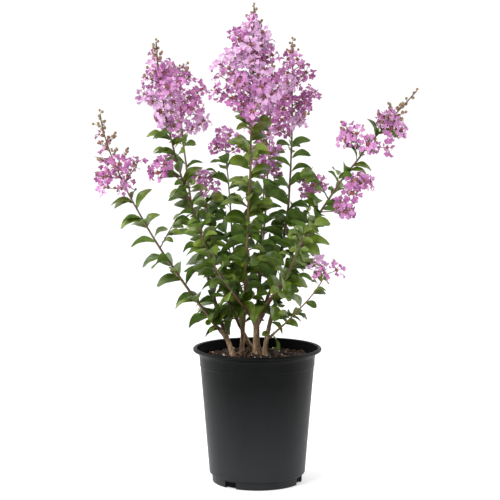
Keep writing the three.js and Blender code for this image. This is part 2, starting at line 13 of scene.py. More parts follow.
import bmesh
import bpy
import numpy as np
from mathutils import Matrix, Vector

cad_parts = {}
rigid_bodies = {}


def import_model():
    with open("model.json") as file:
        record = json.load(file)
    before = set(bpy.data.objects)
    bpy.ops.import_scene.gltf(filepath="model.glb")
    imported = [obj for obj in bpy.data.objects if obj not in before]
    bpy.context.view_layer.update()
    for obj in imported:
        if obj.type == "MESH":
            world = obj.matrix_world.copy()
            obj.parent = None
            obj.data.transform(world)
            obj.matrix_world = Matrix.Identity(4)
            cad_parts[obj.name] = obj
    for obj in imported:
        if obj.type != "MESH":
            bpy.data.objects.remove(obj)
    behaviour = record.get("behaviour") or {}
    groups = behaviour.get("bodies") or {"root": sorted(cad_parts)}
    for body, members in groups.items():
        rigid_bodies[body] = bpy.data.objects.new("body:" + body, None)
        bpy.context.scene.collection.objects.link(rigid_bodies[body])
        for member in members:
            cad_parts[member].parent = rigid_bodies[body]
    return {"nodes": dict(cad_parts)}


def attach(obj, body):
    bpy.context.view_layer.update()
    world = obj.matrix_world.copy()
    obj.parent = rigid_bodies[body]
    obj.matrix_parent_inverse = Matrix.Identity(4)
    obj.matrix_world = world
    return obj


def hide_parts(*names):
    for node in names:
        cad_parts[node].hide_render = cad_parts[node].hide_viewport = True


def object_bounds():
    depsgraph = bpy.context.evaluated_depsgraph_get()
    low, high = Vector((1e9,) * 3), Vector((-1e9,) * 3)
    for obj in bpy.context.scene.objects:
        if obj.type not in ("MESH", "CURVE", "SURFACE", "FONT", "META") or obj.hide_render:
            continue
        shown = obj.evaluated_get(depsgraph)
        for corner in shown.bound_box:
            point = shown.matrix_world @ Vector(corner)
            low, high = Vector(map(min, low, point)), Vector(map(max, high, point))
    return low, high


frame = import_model()
CAD_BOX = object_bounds()
MM = 0.001
FULL_TURN = 2 * math.pi
GOLDEN_ANGLE = math.pi * (3 - math.sqrt(5))
UP = np.array([0.0, 0.0, 1.0])


def rows(columns, table):
    """Names the columns of a table. What a row leaves out at its end is None."""
    return {key: Values(**dict(zip_longest(columns.split(), row))) for key, row in table.items()}


# ---- Sizes that the plant's source states, in millimetres ----

GAP = 0.3
POT = Values(
    height=242, rim=115, lip_depth=6.5, lip_width=6.5, lip_fall=1.0,
    lip_undercut=1.5, neck=104, neck_depth=15.6, band=102.6, band_bottom=210, band_step=0.9,
    wall_bottom=86, foot_height=15, foot=81.5, foot_draft=1.0, chamfer=2.5, wall=2.2, floor=3,
)
DRAIN = Values(azimuths=(-126, -22, 54, 158), width=23, height=12, depth=9, corner=1.6)
SOIL = Values(top=226, shoulder=5, slope=7)
FLARE = Values(gain=0.45, height=9)
TAPER = 1.8

# Where a shoot starts, on the soil as x and y, or on its parent at a height. Its tip. The power
# by which its sideways reach comes early, or late where there is a minus. Its radius at the foot
# and at the tip. The heights where its leaves and its blossom begin, and how far its pairs of
# leaves are drawn to the two sides.
SHOOTS = rows("start tip bend radius leaves bloom spread", {
    "trunk": ((-2, 5), (-1, 7, 302), 1, (6.6, 5.2)),
    "left_back": ((-43, 2), (-143, 134, 742), 2.1, (4.2, 1.3), 268, 610, 0.6),
    "left_tall": ((-9, 60), (-174, -62, 781), 1.6, (3.6, 1.3), 266, 622),
    "centre": ((-28, 40), (-6, -78, 840), 1.5, (3.8, 1.4), 268, 640),
    "right": ((14, 3), (282, -4, 700), -1.65, (4.3, 1.2), 276, 622, 0.8),
    "far_left": (("left_back", 252), (-273, -46, 660), 1.45, (3.0, 1.1), 272, 512, 0.9),
    "left_middle": (("trunk", 282), (-92, 30, 545), 2.3, (2.8, 1.1), 322, 508),
    "centre_left": (("centre", 256), (-58, 66, 616), 1.2, (2.6, 1.1), 300, 578),
    "right_tall": (("trunk", 286), (63, 60, 789), 4.2, (3.2, 1.2), 332, 608, 0.7),
    "middle_back": (("trunk", 292), (17, 75, 616), 1.1, (2.9, 1.1), 330, 538),
    "back": (("trunk", 262), (30, 186, 752), 1.3, (3.0, 1.2), 322, 604),
    "back_left": (("trunk", 272), (-64, 142, 478), 1.5, (2.6, 1.0), 318),
    "back_right": (("trunk", 276), (104, 76, 534), 1.4, (2.6, 1.0), 316, 498),
    "right_low": (("right", 254), (117, -98, 389), 1.3, (2.2, 0.9), 276, 374, 0.8),
    "front_left": (("trunk", 290), (-96, -104, 462), 1.5, (2.6, 1.0), 312),
    "front_right": (("trunk", 296), (76, -112, 452), 1.4, (2.7, 1.0), 314),
})

# Branches, length of the lowest and of the highest, height of the bare spike, share of the
# places that hold buds, the heavy side as an azimuth in degrees with the share it gains, and
# the share that the lowest branches are drawn in by.
PANICLES = rows("branches reach top spike buds heavy drawn_in", {
    "centre": (18, 74, 18, 40, 0.05, (180, 0.2), 0.25),
    "left_tall": (10, 52, 14, 36, 0.1, (180, 0.1), 0.4),
    "left_back": (10, 48, 12, 6, 0.1, (-10, 0.4), 0.15),
    "far_left": (10, 44, 10, 52, 0.35, (0, 0.1)),
    "right_tall": (10, 49, 12, 34, 0.1, (0, 0.4)),
    "right": (5, 29, 12, 48, 0.15),
    "right_low": (3, 22, 14, 0, 0),
    "left_middle": (3, 19, 14, 0, 0),
    "centre_left": (3, 23, 14, 0, 0),
    "middle_back": (4, 28, 14, 0, 0.1),
    "back_right": (3, 22, 14, 0, 0.1),
    "back": (7, 42, 12, 32, 0.1),
})
SIDE_PANICLES = rows("parent height tip branches reach top", {
    "right_inner": ("right", 588, (164, -22, 626), 3, 16, 14),
    "right_outer": ("right", 606, (210, -30, 599), 2, 15, 14),
    "right_middle": ("right", 520, (182, -42, 540), 4, 22, 14),
    "right_under": ("right", 484, (160, -50, 490), 3, 20, 14),
    "left_side": ("left_tall", 540, (-170, -64, 568), 3, 20, 14),
})
SEEDS = Values(panicles=11, side_panicles=41, leaves=71, fine=1300, wobble=(3, 4, 5), bark=20,
               soil=51, pieces=7)
# How far a panicle's lowest branch stands above the foot of the blossom.
NEAR = 6

LEAF = Values(length=52, sunk=0.9, roll=(0.45, 1.15), lean=(0.25, 0.7), vary=(0.85, 1.12))
PAIRS = Values(spacing=33, stagger=0.3, start=0.35, wander=0.5, skew=0.3, largest=0.4,
               dwindle=0.35, bulge=1.5)
TWIG = Values(odds=0.1, highest=0.7, length=56, radius=1.3, leaves=6, last=0.86, leaf_scale=0.8,
              leaf_lean=0.7, spread=(1.25, 0.65))
FLOWER = Values(radius=16.5, depth=12, vary=(0.88, 1.1), sunk=1.5)
BUD = Values(radius=3.1, length=10, spacing=6, lean=0.8, taper=(1.15, 0.75), vary=(0.9, 1.15),
             last=0.7)
BRANCH = Values(radius=1.5, lean=0.55, fork=1.1, lift=0.25, sway=(0.5, 0.25), shrink=0.08, turns=4,
                wander=0.3, vary=(0.85, 1.1))
# Share of a branch's length and side of each of its flowers.
BRANCH_PLACES = ((0.98, 0), (0.76, -1), (0.56, 1))
STALK = Values(radius=1.8, bare=0.55, lean=0.7, buds=0.05)

# ---- Sizes that only the looks have, in millimetres ----

# How far the finest growth may stand out of the CAD model's box.
BOX_SLACK = 0.3
# A source's twig is a faceted bar, and the round one that stands for it is thinner.
ROUND_TWIG = 0.7
# What the finer twigs of a flowering branch carry: share of its length, side and size.
FINE_PLACES = ((0.9, 1, 0.86), (0.66, -1, 0.9), (0.42, -1, 0.82), (0.34, 1, 0.8))
FINE_TWIG = Values(forward=0.5, up=(-0.6, 1), vary=(0.9, 1.05))
FINE_BUDS = Values(odds=0.03, up=0.3, size=(0.55, 0.95))
# Stalks with a few buds: length at the foot and at the tip of a spike. Those among the flowers
# of a panicle are as long as at the usual share of a spike.
SPRAY = Values(highest=0.55, length=(15, 8), vary=(0.8, 1.15), radius=0.7, stray=0.45, up=(0, 0.6),
               buds=2, size=(0.65, 0.95), spacing=0.4, bud_up=(-0.3, 1), bud_turn=(0.4, 0.6),
               flower=0.3, flower_at=0.6, flower_size=0.55, usual=0.5)
# Lighter branches between those of the source, each over against the one below it.
FILLING = Values(wander=0.4, vary=(0.7, 0.95), buds=0.1)
# Share of the finer twigs and the filling branches that a panicle has.
FULLNESS = {"centre": 1.0, "far_left": 0.3, "left_back": 0.6, "left_tall": 0.8, "right": 0.6,
            "right_low": 0.1, "left_middle": 0.3, "centre_left": 0.3, "back_right": 0.3}
USUAL_FULLNESS = 0.65
# Share of the flowers that are open low and high in a panicle; the others are sprays of buds.
OPEN = {"far_left": (0.8, 0.0), "right": (0.9, 0.6), "left_tall": (0.9, 0.95)}
USUAL_OPEN = (0.97, 0.97)
SIDE_LOOK = dict(open=0.9, ripe="russet")
# Odds of olive buds on a branch, and the share of a spike from which they are olive.
OLIVE_ODDS = 0.4
OLIVE_ABOVE = 0.3
# How the blossom of a panicle is shared out between the bright, the pale and the deep tint.
TINTS = {
    "centre": (0.5, 0.35, 0.15), "left_tall": (0.5, 0.35, 0.15), "far_left": (0.4, 0.1, 0.5),
    "right_tall": (0.3, 0.2, 0.5), "right": (0.3, 0.2, 0.5), "left_back": (0.3, 0.3, 0.4),
    "right_middle": (0.2, 0.05, 0.75), "right_under": (0.2, 0.05, 0.75),
    "left_side": (0.2, 0.05, 0.75),
}
USUAL_TINTS = (0.4, 0.25, 0.35)
# What the share of the bright tint is multiplied by low and high in a panicle.
BRIGHTER = (0.6, 1.5)
# Flowering branches that stand out of a panicle: shoot, height, azimuth, length. They look like
# those at a share of its height, with their own share of buds and of finer twigs.
LONG_LOOK = Values(share=0.5, buds=0.1, full=1)
LONG_BRANCHES = (
    ("far_left", 546, 188, 42), ("far_left", 578, 172, 32), ("centre", 690, 180, 60),
    ("right", 638, 150, 28),
)

# Shoots with dark young bark.
DARK_SHOOTS = ("right_tall", "left_tall", "left_back", "far_left", "back", "right",
               "front_left", "front_right", "left_middle")
# Odds of a leaf between those of the source, and its length, on the shoots leafy all the way.
DENSE_SHOOTS = {"centre": 1, "left_tall": 1, "front_left": 1, "front_right": 1, "right": 1,
                "far_left": 0.65, "right_low": 0.7}
BETWEEN = Values(wander=0.3, size=(0.72, 0.95))
# The outer arms carry plain pairs, with nothing more in their axils.
PLAIN_ARMS = ("far_left", "right_low")
# Single leaves besides the pairs: shoot, height, azimuth, lean along the shoot, length.
SINGLE_LEAVES = (
    ("left_back", 268, 190, 0.1, 40), ("left_back", 278, -120, -0.3, 42),
    ("far_left", 300, 190, 0.2, 42), ("far_left", 324, 170, 0.4, 46),
    ("left_back", 316, -150, 0.1, 42), ("left_tall", 294, 200, -0.8, 40),
    ("right_low", 264, -20, -0.6, 34), ("right_low", 262, -160, 0.2, 24),
    ("right", 286, -20, -0.4, 34), ("right", 300, 10, -0.2, 34),
    ("front_right", 318, -105, -0.7, 38), ("front_left", 326, -60, -0.9, 34),
    ("front_left", 312, -150, -0.6, 36), ("right", 318, -80, -0.9, 36),
    ("right_tall", 598, -15, 0.5, 38), ("right_tall", 576, 8, 0.3, 38),
    ("far_left", 506, 175, 0.2, 36), ("far_left", 470, 185, 0.4, 44),
    ("far_left", 458, 8, 0.5, 34), ("far_left", 438, -8, 0.3, 34),
)
SINGLE_ROLL = 0.7
# Shoots whose uppermost pairs get smaller, and by how much.
LAST_PAIRS = Values(shoots=("left_tall", "left_back"), above=0.75, fade=0.7)
# Share of the source's dwindling of the leaves along a shoot that is kept.
DWINDLED = 0.5
# Size of the leaves on the shoots where they are smaller than usual.
SMALL_LEAVES = {"right_low": 0.55, "front_left": 0.78, "front_right": 0.78, "back_left": 0.85,
                "left_tall": 0.92, "right": 0.92, "middle_back": 0.72, "back": 0.85}
AXIL = Values(odds=0.45, sides=(-0.5, 0.5), wander=0.2, length=(15, 30), lean=1.0, younger=0.3)
# Short side shoots in the axils carry leaves: share of the length, turn and lean of each.
SPUR = Values(odds=0.22, length=(16, 30), leaf=(20, 34), lean=1.1, radius=0.8, wander=0.3,
              younger=0.2, places=((0.6, -1.2, 0.6), (0.66, 1.2, 0.6), (1, 0, 1.5)))
# The leafy twigs of the source: how far they sag, and the size of their first and last leaves.
TWIG_LOOK = Values(sag=0.06, size=(0.8, 1), younger=0.2)
# The leaves at the tip of a shoot that has no blossom.
TIP_LEAVES = Values(count=3, lean=1.1, length=(20, 32), roll=0.6)
# Leaves are younger towards the tip, and from these sums on they count as full and as young.
AGE = Values(gain=0.6, vary=(-0.3, 0.7), full=0.35, young=0.95)
# Places along a leaf that keep clear of other growth, and how they rise and drop.
MIDRIB = Values(along=(0.35, 0.65, 0.95), rise=(0.05, 0.02, -0.12))
LEAF_LOOK = Values(stations=12, across=7, width=(0.4, 0.5), round_width=(0.56, 0.72),
                   round_odds=(0.95, 0.15), petiole=2.8, petiole_width=0.006, thickness=0.32,
                   fold=(0.15, 0.6), wave=(0.006, 0.018), waves=2.3, recurve=(0.0, 0.1), rise=0.4,
                   drop=0.5, roll=0.85, pointed=(1.1, 0.66), blunt=(1.25, 0.52), rim=6,
                   curl=1.3, shorten=0.35, under=0.6)
PETAL = Values(count=6, claw_root=(2.2, 5.0), claw_width=0.9, claw_end=0.72, blade_at=(12.4, 9.8),
               blade_stray=(0.6, 1.1), blade=5.9, vary=(0.78, 1.1), skew=0.09, lobes=5,
               lobe_depth=0.54, oval=0.1, cup=0.7, ruffle=2.2, frill=0.45, rings=3, sides=25,
               tilt=(0.1, 0.36), twist=0.36)
STAMEN = Values(count=7, spread=3.0, foot=5, height=(7.0, 9.5), anther=0.48, filament=0.16)
# Radius and height from the pedicel's foot to the calyx's mouth and teeth, and back inside.
CALYX = ((0.75, 0), (0.75, 2.6), (2.2, 4.4), (3.1, 6.2), (4.6, 6.9), (2.48, 6.0), (0.05, 4.4))
# How far every other point of the calyx's teeth lies outside its mouth.
TEETH = 1.08
# A bud's stalk at its foot and top, where it meets the bud, the angles of the bud's rings, its
# point and how deep its ridges are.
BUD_SHAPE = Values(stalk=(0.6, 0.55), neck=1.15, rings=(-65, -35, -5, 25, 55, 80),
                   point=(0.05, 0.5), ridge=0.05, sides=12)
NODE = Values(swell=0.16, height=2.2)
WOOD = Values(step=4.0, sides=8, waver=0.5, waver_length=60)
BARK = Values(step=0.8, sides=28, below=4, stretch=0.3, flakes=0.28, fissures=0.22, lumps=0.22,
              plates=(7.0, 3.1), plate_edge=7, fissure=(4.4, 0.16), lump=16,
              collar=0.5, collar_height=5)

# The pot's edges, as radii or as distances sideways and down, and the sides of its turned forms.
EDGES = Values(foot=0.8, groove=(0.3, 1.2), ledge=0.5, under_band=((0, 2.2), (0.05, 1.2)),
               band=(0.75, 0.9), neck=(0.7, 2.5), flare=(0.6, 1.5), under_lip=(0.2, 0.4),
               lip=2.9, lip_inside=(1.6, 1.2), inside=4, lining=0.6, sides=160)
# The soil's surface: how far its crumbs lie below the source's, their depths and breadths, how
# far from the pot they level out, and its rings and sides.
CRUMBS = Values(below=1.2, rough=((0.9, 26), (0.8, 9), (0.5, 4)), level=3, rings=70, sides=180)
CHIP = Values(corners=6, turned=0.22, radius=(0.7, 1.1), upper=0.86, moved=0.08)

# Share of the sum of two radii that two growths keep apart, and how often a twig tries.
CROWDED = Values(flower=0.58, fine=0.6, bud=0.4, leaf=0.5, small_leaf=0.4, tip_leaf=0.2,
                 single_leaf=0.1, turned_leaf=(0.55, 0.25), leaf_radius=5.5, tries=5)
LEAF_TURNS = (0, 0.35, -0.35, 0.7, -0.7, 1.1, -1.1)

# ---- Colours, in 0 to 255 as the eye sees them, each from dark to light ----

YOUNG_BARK = {"warm": ((78, 51, 27), (128, 93, 54)), "dark": ((68, 42, 33), (118, 82, 59))}
GREENS = {"young": ((88, 108, 18), (124, 142, 48)), "full": ((68, 91, 8), (108, 129, 33)),
          "old": ((46, 68, 4), (76, 98, 12))}
SILKS = {"bright": ((180, 108, 169), (204, 134, 190)), "pale": ((192, 139, 187), (218, 174, 213)),
         "deep": ((157, 77, 142), (186, 105, 168))}
BUD_SKINS = {"olive": ((114, 94, 70), (154, 132, 102)), "russet": ((122, 84, 68), (160, 120, 96))}
# Chips on the soil: how many, length, breadth as a share of it, thickness, tilt and colours.
CHIPS = {
    "chips_dark": (190, (7, 19), (0.4, 0.75), 0.22, 0.28, (26, 17, 12), (60, 41, 29)),
    "chips_red": (80, (6, 17), (0.35, 0.7), 0.2, 0.3, (58, 32, 21), (104, 62, 42)),
    "chips_tan": (55, (5, 16), (0.16, 0.5), 0.18, 0.3, (112, 84, 56), (160, 128, 92)),
}
# White specks, by the same columns without the colours.
PERLITE = (34, (2, 4.6), (0.7, 1.0), 0.7, 0.6)
STREWN = Values(lift=0.8, perlite_lift=1.4, edge=8)


# ---- Seeded numbers ----

class Seeded:
    """Park and Miller's generator, as in the plant's source."""

    def __init__(self, seed):
        self.state = seed * 7919 + 17

    def __call__(self):
        self.state = self.state * 16807 % 2147483647
        return self.state / 2147483647

    def between(self, low, high):
        return low + (high - low) * self()

    def about(self, reach):
        return self.between(-reach, reach)

    def stray(self, reach, low, high=None):
        """Up to reach both ways sideways, and low upwards, or between low and high."""
        x, y = self.about(reach), self.about(reach)
        return vec(x, y, low if high is None else self.between(low, high))


def ripples(points, wavelength, seed, waves=9):
    """A smooth, uneven field of about -1 to 1 over points, the same each run."""
    dice = np.random.default_rng(seed)
    directions = unit(dice.normal(size=(waves, 3)))
    waves_per_mm = directions * dice.uniform(0.7, 1.5, (waves, 1)) * FULL_TURN / wavelength
    phases = dice.uniform(0, FULL_TURN, waves)
    return np.sin(points @ waves_per_mm.T + phases).sum(-1) / math.sqrt(waves)


# ---- Vectors ----

def vec(*numbers):
    return np.array(numbers, float)


def unit(v):
    return v / np.maximum(np.linalg.norm(v, axis=-1, keepdims=True), 1e-9)


def lerp(a, b, t):
    return a + (b - a) * t


def swing(first, second, angle):
    """The direction at an angle from the first of two square directions to the second."""
    return first * np.cos(angle) + second * np.sin(angle)


def around(sides):
    """Angles in even steps round a circle."""
    return np.arange(sides) * FULL_TURN / sides


def polar(radius, angles, height=0.0):
    x, y = radius * np.cos(angles), radius * np.sin(angles)
    return np.stack(np.broadcast_arrays(x, y, height), axis=-1)


def frames(directions):
    """Two unit vectors across each direction."""
    helper = np.where(np.abs(directions[..., 2:3]) < 0.9, UP, vec(1, 0, 0))
    across = unit(np.cross(helper, directions))
    return across, np.cross(directions, across)


def laid_out(origins, local, *axes):
    """The points of many copies, from coordinates along the axes of each copy."""
    points = origins[:, None]
    for i, axis in enumerate(axes):
        points = points + local[..., i:i + 1] * axis[:, None]
    return points


def outward(axis, azimuth, along):
    """The outward direction from a limb at an azimuth, leaning along the limb by a share."""
    side = vec(math.cos(azimuth), math.sin(azimuth), 0)
    side = unit(side - axis * (side @ axis))
    return unit(side + axis * along)


# ---- Paths ----

class ShootPath:
    def __init__(self, foot, tip, bend):
        self.foot, self.tip, self.bend = foot, vec(*tip), bend

    def climbed(self, height):
        """The share of the way up that a height stands for."""
        return np.clip((height - self.foot[2]) / (self.tip[2] - self.foot[2]), 0, 1)

    def at(self, height):
        t = self.climbed(height)
        reach = t ** -self.bend if self.bend < 0 else 1 - (1 - t) ** self.bend
        point = lerp(self.foot, self.tip, np.asarray(reach)[..., None])
        point[..., 2] = lerp(self.foot[2], self.tip[2], t)
        return point

    def direction(self, height):
        step = 0.005 * (self.tip[2] - self.foot[2])
        height = np.clip(height, self.foot[2] + step, self.tip[2] - step)
        return unit(self.at(height + step) - self.at(height - step))


def rooted(name):
    """Whether a shoot rises from the soil."""
    return not isinstance(SHOOTS[name].start[0], str)


PATHS = {}
for name, shoot in SHOOTS.items():
    first, second = shoot.start
    foot = vec(first, second, SOIL.top + GAP) if rooted(name) else PATHS[first].at(second)
    PATHS[name] = ShootPath(foot, shoot.tip, shoot.bend)


def radius_of(name, heights):
    path = PATHS[name]
    thick, thin = SHOOTS[name].radius
    radii = thin + (thick - thin) * (1 - path.climbed(heights)) ** TAPER
    if rooted(name):
        radii *= 1 + FLARE.gain * np.exp(-(heights - path.foot[2]) / FLARE.height)
    return radii


# ---- Meshes ----

def linked(name, data):
    """A new object in the scene."""
    made = bpy.data.objects.new(name, data)
    bpy.context.scene.collection.objects.link(made)
    return made


def mesh_of(name, shape):
    """A mesh from a bmesh that is done with."""
    data = bpy.data.meshes.new(name)
    shape.to_mesh(data)
    shape.free()
    return data


class Heap:
    """Points and faces of many small things that together become one piece."""

    def __init__(self):
        self.points, self.faces, self.uvs = [], [], []
        self.count = 0

    def add(self, points, *face_sets, uv=None):
        """points is (copies, points of one, 3), and the faces are those of one copy."""
        copies, size, _ = points.shape
        shift = self.count + np.arange(copies)[:, None, None] * size
        self.points.append(points.reshape(-1, 3))
        for faces in face_sets:
            self.faces.append((faces[None] + shift).reshape(-1, faces.shape[1]))
            if uv is not None:
                self.uvs.append(np.tile(uv[faces].reshape(-1, 2), (copies, 1)))
        self.count += copies * size

    def piece(self, name, material, slot, nodes, smooth=True):
        """Puts the heap into the scene as one piece, on the plant's one body."""
        mesh = bpy.data.meshes.new(name)
        points = np.concatenate(self.points) * MM
        corners = np.concatenate([faces.ravel() for faces in self.faces])
        sizes = np.concatenate([np.full(len(faces), faces.shape[1]) for faces in self.faces])
        mesh.vertices.add(len(points))
        mesh.vertices.foreach_set("co", points.astype(np.float32).ravel())
        mesh.loops.add(len(corners))
        mesh.loops.foreach_set("vertex_index", corners.astype(np.int32))
        mesh.polygons.add(len(sizes))
        mesh.polygons.foreach_set("loop_start", (np.cumsum(sizes) - sizes).astype(np.int32))
        mesh.polygons.foreach_set("use_smooth", np.full(len(sizes), smooth))
        if self.uvs:
            layer = mesh.uv_layers.new(name="blade")
            layer.data.foreach_set("uv", np.concatenate(self.uvs).astype(np.float32).ravel())
        mesh.update(calc_edges=True)
        mesh.validate()
        mesh.materials.append(material)
        piece = linked(name, mesh)
        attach(piece, "root")
        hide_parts(*nodes)
        return piece


def grid_faces(rings, columns, closed=False):
    """Quads between rows of points, joined round at the end if closed."""
    r, c = np.meshgrid(np.arange(rings - 1), np.arange(columns - (not closed)), indexing="ij")
    n = (c + 1) % columns
    quads = [r * columns + c, r * columns + n, (r + 1) * columns + n, (r + 1) * columns + c]
    return np.stack([q.ravel() for q in quads], axis=1)


def cap_faces(rings, sides):
    """Triangles that close both ends of rings of points, to the two points that follow them."""
    corners = np.arange(sides)
    following = (corners + 1) % sides
    first, last = rings * sides, (rings - 1) * sides
    return np.concatenate([
        np.stack([following, corners, np.full(sides, first)], axis=1),
        np.stack([last + corners, last + following, np.full(sides, first + 1)], axis=1)])


def tube(heap, centres, radii, sides, relief=None):
    """A round tube through centres with closed ends, its rings kept from twisting."""
    directions = unit(np.gradient(centres, axis=0))
    across = [frames(directions[:1])[0][0]]
    for direction in directions[1:]:
        across.append(unit(across[-1] - direction * (across[-1] @ direction)))
    over = np.cross(directions, across)
    spokes = swing(np.array(across)[:, None], over[:, None], around(sides)[:, None])
    lengths = radii[:, None, None]
    rings = centres[:, None] + spokes * lengths
    if relief is not None:
        rings = centres[:, None] + spokes * (lengths + relief(rings)[..., None])
    points = np.concatenate([rings.reshape(-1, 3), centres[:1], centres[-1:]])
    heap.add(points[None], grid_faces(len(centres), sides, closed=True),
             cap_faces(len(centres), sides))


def turned_template(profile, sides, ridge=0.0):
    """A turned form, a ring for each radius and height, with six ridges if they are wanted."""
    angles = around(sides)
    wavy = 1 + ridge * np.cos(6 * angles)
    rings = np.concatenate([polar(radius * wavy, angles, z) for radius, z in profile])
    return rings, grid_faces(len(profile), sides, closed=True)


def placed(template, origins, directions, scales, spins):
    """Copies of a template whose Z runs along directions."""
    across, over = frames(directions)
    spins = spins[:, None]
    return laid_out(origins, template * scales[:, None, None], swing(across, over, spins),
                    swing(over, -across, spins), directions)


# ---- Growing: what stands where ----

class Crowd:
    """Balls of space that are taken, so that a newcomer can look for room."""

    def __init__(self):
        self.centres = np.zeros((0, 3))
        self.radii = np.zeros(0)

    def room_for(self, centres, radius, share):
        inside = (centres - radius > BOX_LOW).all() and (centres + radius < BOX_HIGH).all()
        gaps = np.linalg.norm(self.centres[None] - centres[:, None], axis=-1)
        return inside and bool((gaps > share * (self.radii[None] + radius)).all())

    def take(self, centres, radius):
        self.centres = np.concatenate([self.centres, centres])
        self.radii = np.concatenate([self.radii, np.full(len(centres), radius)])


BOX_LOW = np.array(CAD_BOX[0]) / MM - BOX_SLACK
BOX_HIGH = np.array(CAD_BOX[1]) / MM + BOX_SLACK
crowd = Crowd()
young_wood = {key: Heap() for key in YOUNG_BARK}
flowers = {tint: [] for tint in SILKS}
buds = {ripe: [] for ripe in BUD_SKINS}
leaves = {age: [] for age in GREENS}


def whole(number):
    """Rounds as the plant's source does."""
    return int(math.floor(number + 0.5))


def stem_of(name):
    return young_wood["dark" if name in DARK_SHOOTS else "warm"]


def grow_twig(heap, origin, direction, length, radius, sag=0.0, steps=6):
    """A thin stalk that tapers to half its radius."""
    t = np.linspace(0, 1, steps)[:, None]
    centres = origin + direction * length * t - UP * sag * length * t ** 2
    tube(heap, centres, lerp(radius, radius / 2, t[:, 0]), 6)


def settle(group, start, aim, scale, depth, radius, share):
    """Sets a flower or a bud if its ball finds room. Gives whether it did."""
    centre = (start + aim * depth * scale)[None]
    if not crowd.room_for(centre, radius * scale, share):
        return False
    crowd.take(centre, radius * scale)
    group.append((start, aim, scale))
    return True


def bloom(start, aim, scale, tint, share=CROWDED.flower):
    return settle(flowers[tint], start, aim, scale, FLOWER.depth, FLOWER.radius, share)


def set_bud(start, aim, scale, ripe):
    depth = BUD.length - BUD.radius
    return settle(buds[ripe], start, aim, scale, depth, BUD.radius, CROWDED.bud)


def tint_of(name, share, fine):
    """Bright towards the top of a panicle, and pale or deep lower down."""
    bright, pale, deep = TINTS.get(name, USUAL_TINTS)
    bright = bright * lerp(*BRIGHTER, share)
    draw = fine() * (bright + pale + deep)
    if draw < bright:
        return "bright"
    return "pale" if draw < bright + pale else "deep"


def branch_look(name, share, fine, buds, full, fixed=None):
    """How a branch flowers at a share of the way up. What is fixed isn't drawn."""
    tint = tint_of(name, share, fine)
    if not fixed:
        fixed = dict(open=lerp(*OPEN.get(name, USUAL_OPEN), share),
                     ripe="olive" if fine() < OLIVE_ODDS else "russet")
    return Values(buds=buds, full=full, tint=tint, **fixed)


def open_or_spray(wood, start, aim, scale, look, fine):
    """A flower where the panicle has opened, and a spray of buds where it hasn't."""
    if fine() < look.open:
        return bloom(start, aim, scale, look.tint)
    grow_spray(wood, start, aim, SPRAY.usual, look.ripe, fine)
    return True


def grow_branch(wood, origin, direction, length, look, random, fine):
    """One flowering branch, as in the source, and then its finer twigs."""
    grow_twig(wood, origin, direction, length + 1, BRANCH.radius * ROUND_TWIG)
    across = unit(vec(-direction[1], direction[0], 0))
    for share, side in BRANCH_PLACES:
        start = origin + direction * length * share
        closed = random() < look.buds
        for turn in range(BRANCH.turns):
            fork = side * (-1 if turn % 2 else 1) * BRANCH.fork
            stray = random.stray(BRANCH.sway[0] + BRANCH.sway[1] * turn, BRANCH.lift)
            aim = unit(direction + across * fork + stray)
            scale = random.between(*FLOWER.vary) * (1 - BRANCH.shrink * turn)
            if closed and set_bud(start, aim, scale, look.ripe):
                break
            if not closed and open_or_spray(wood, start, aim, scale, look, fine):
                break
    grow_finer_twigs(origin, direction, across, length, look, fine)


def grow_finer_twigs(origin, direction, across, length, look, fine):
    """More flowers between the source's, and here and there a bud."""
    for share, side, size in FINE_PLACES:
        if fine() > look.full:
            continue
        start = origin + direction * length * share
        closed = fine() < look.buds
        sideways = direction * FINE_TWIG.forward + across * side * BRANCH.fork
        for _ in range(CROWDED.tries):
            aim = unit(sideways + fine.stray(1, *FINE_TWIG.up))
            if closed or fine() > look.open:
                continue
            scale = size * fine.between(*FINE_TWIG.vary)
            if bloom(start, aim, scale, look.tint, CROWDED.fine):
                break
        if fine() < FINE_BUDS.odds:
            aim = unit(direction + fine.stray(1, FINE_BUDS.up))
            set_bud(start, aim, fine.between(*FINE_BUDS.size), look.ripe)


def grow_spike(name, spike, random, fine):
    """Buds up the bare end of a panicle, with sprays of them low down."""
    path = PATHS[name]
    top = path.tip[2]
    count = whole(spike / BUD.spacing)
    for i in range(count):
        share = (i + 0.5) / count
        height = lerp(top - spike, top, share)
        direction = outward(path.direction(height), i * GOLDEN_ANGLE, BUD.lean)
        scale = lerp(*BUD.taper, share) * random.between(*BUD.vary)
        ripe = "olive" if share > OLIVE_ABOVE else "russet"
        set_bud(path.at(height), direction, scale, ripe)
        if share < SPRAY.highest:
            flower = SPRAY.flower * (1 - share / SPRAY.highest)
            grow_spray(stem_of(name), path.at(height), direction, share, ripe, fine, flower)
    set_bud(path.at(top - 1), path.direction(top), BUD.last, "olive")


def grow_spray(wood, start, direction, share, ripe, fine, flower=0.0):
    """A short stalk with a few buds at its end, or by these odds a small flower."""
    aim = unit(direction + SPRAY.stray * fine.stray(1, *SPRAY.up))
    length = lerp(*SPRAY.length, share) * fine.between(*SPRAY.vary)
    grow_twig(wood, start, aim, length, SPRAY.radius)
    if fine() < flower and bloom(start + aim * length * SPRAY.flower_at, aim,
                                 SPRAY.flower_size, "deep", CROWDED.fine):
        return
    least, more = SPRAY.bud_turn
    for i in range(SPRAY.buds):
        turn = fine.stray(1, *SPRAY.bud_up) * (least + more * i)
        size = lerp(*BUD.taper, share) * fine.between(*SPRAY.size)
        foot = start + aim * length * (1 - SPRAY.spacing * i)
        set_bud(foot, unit(aim + turn), size, ripe)


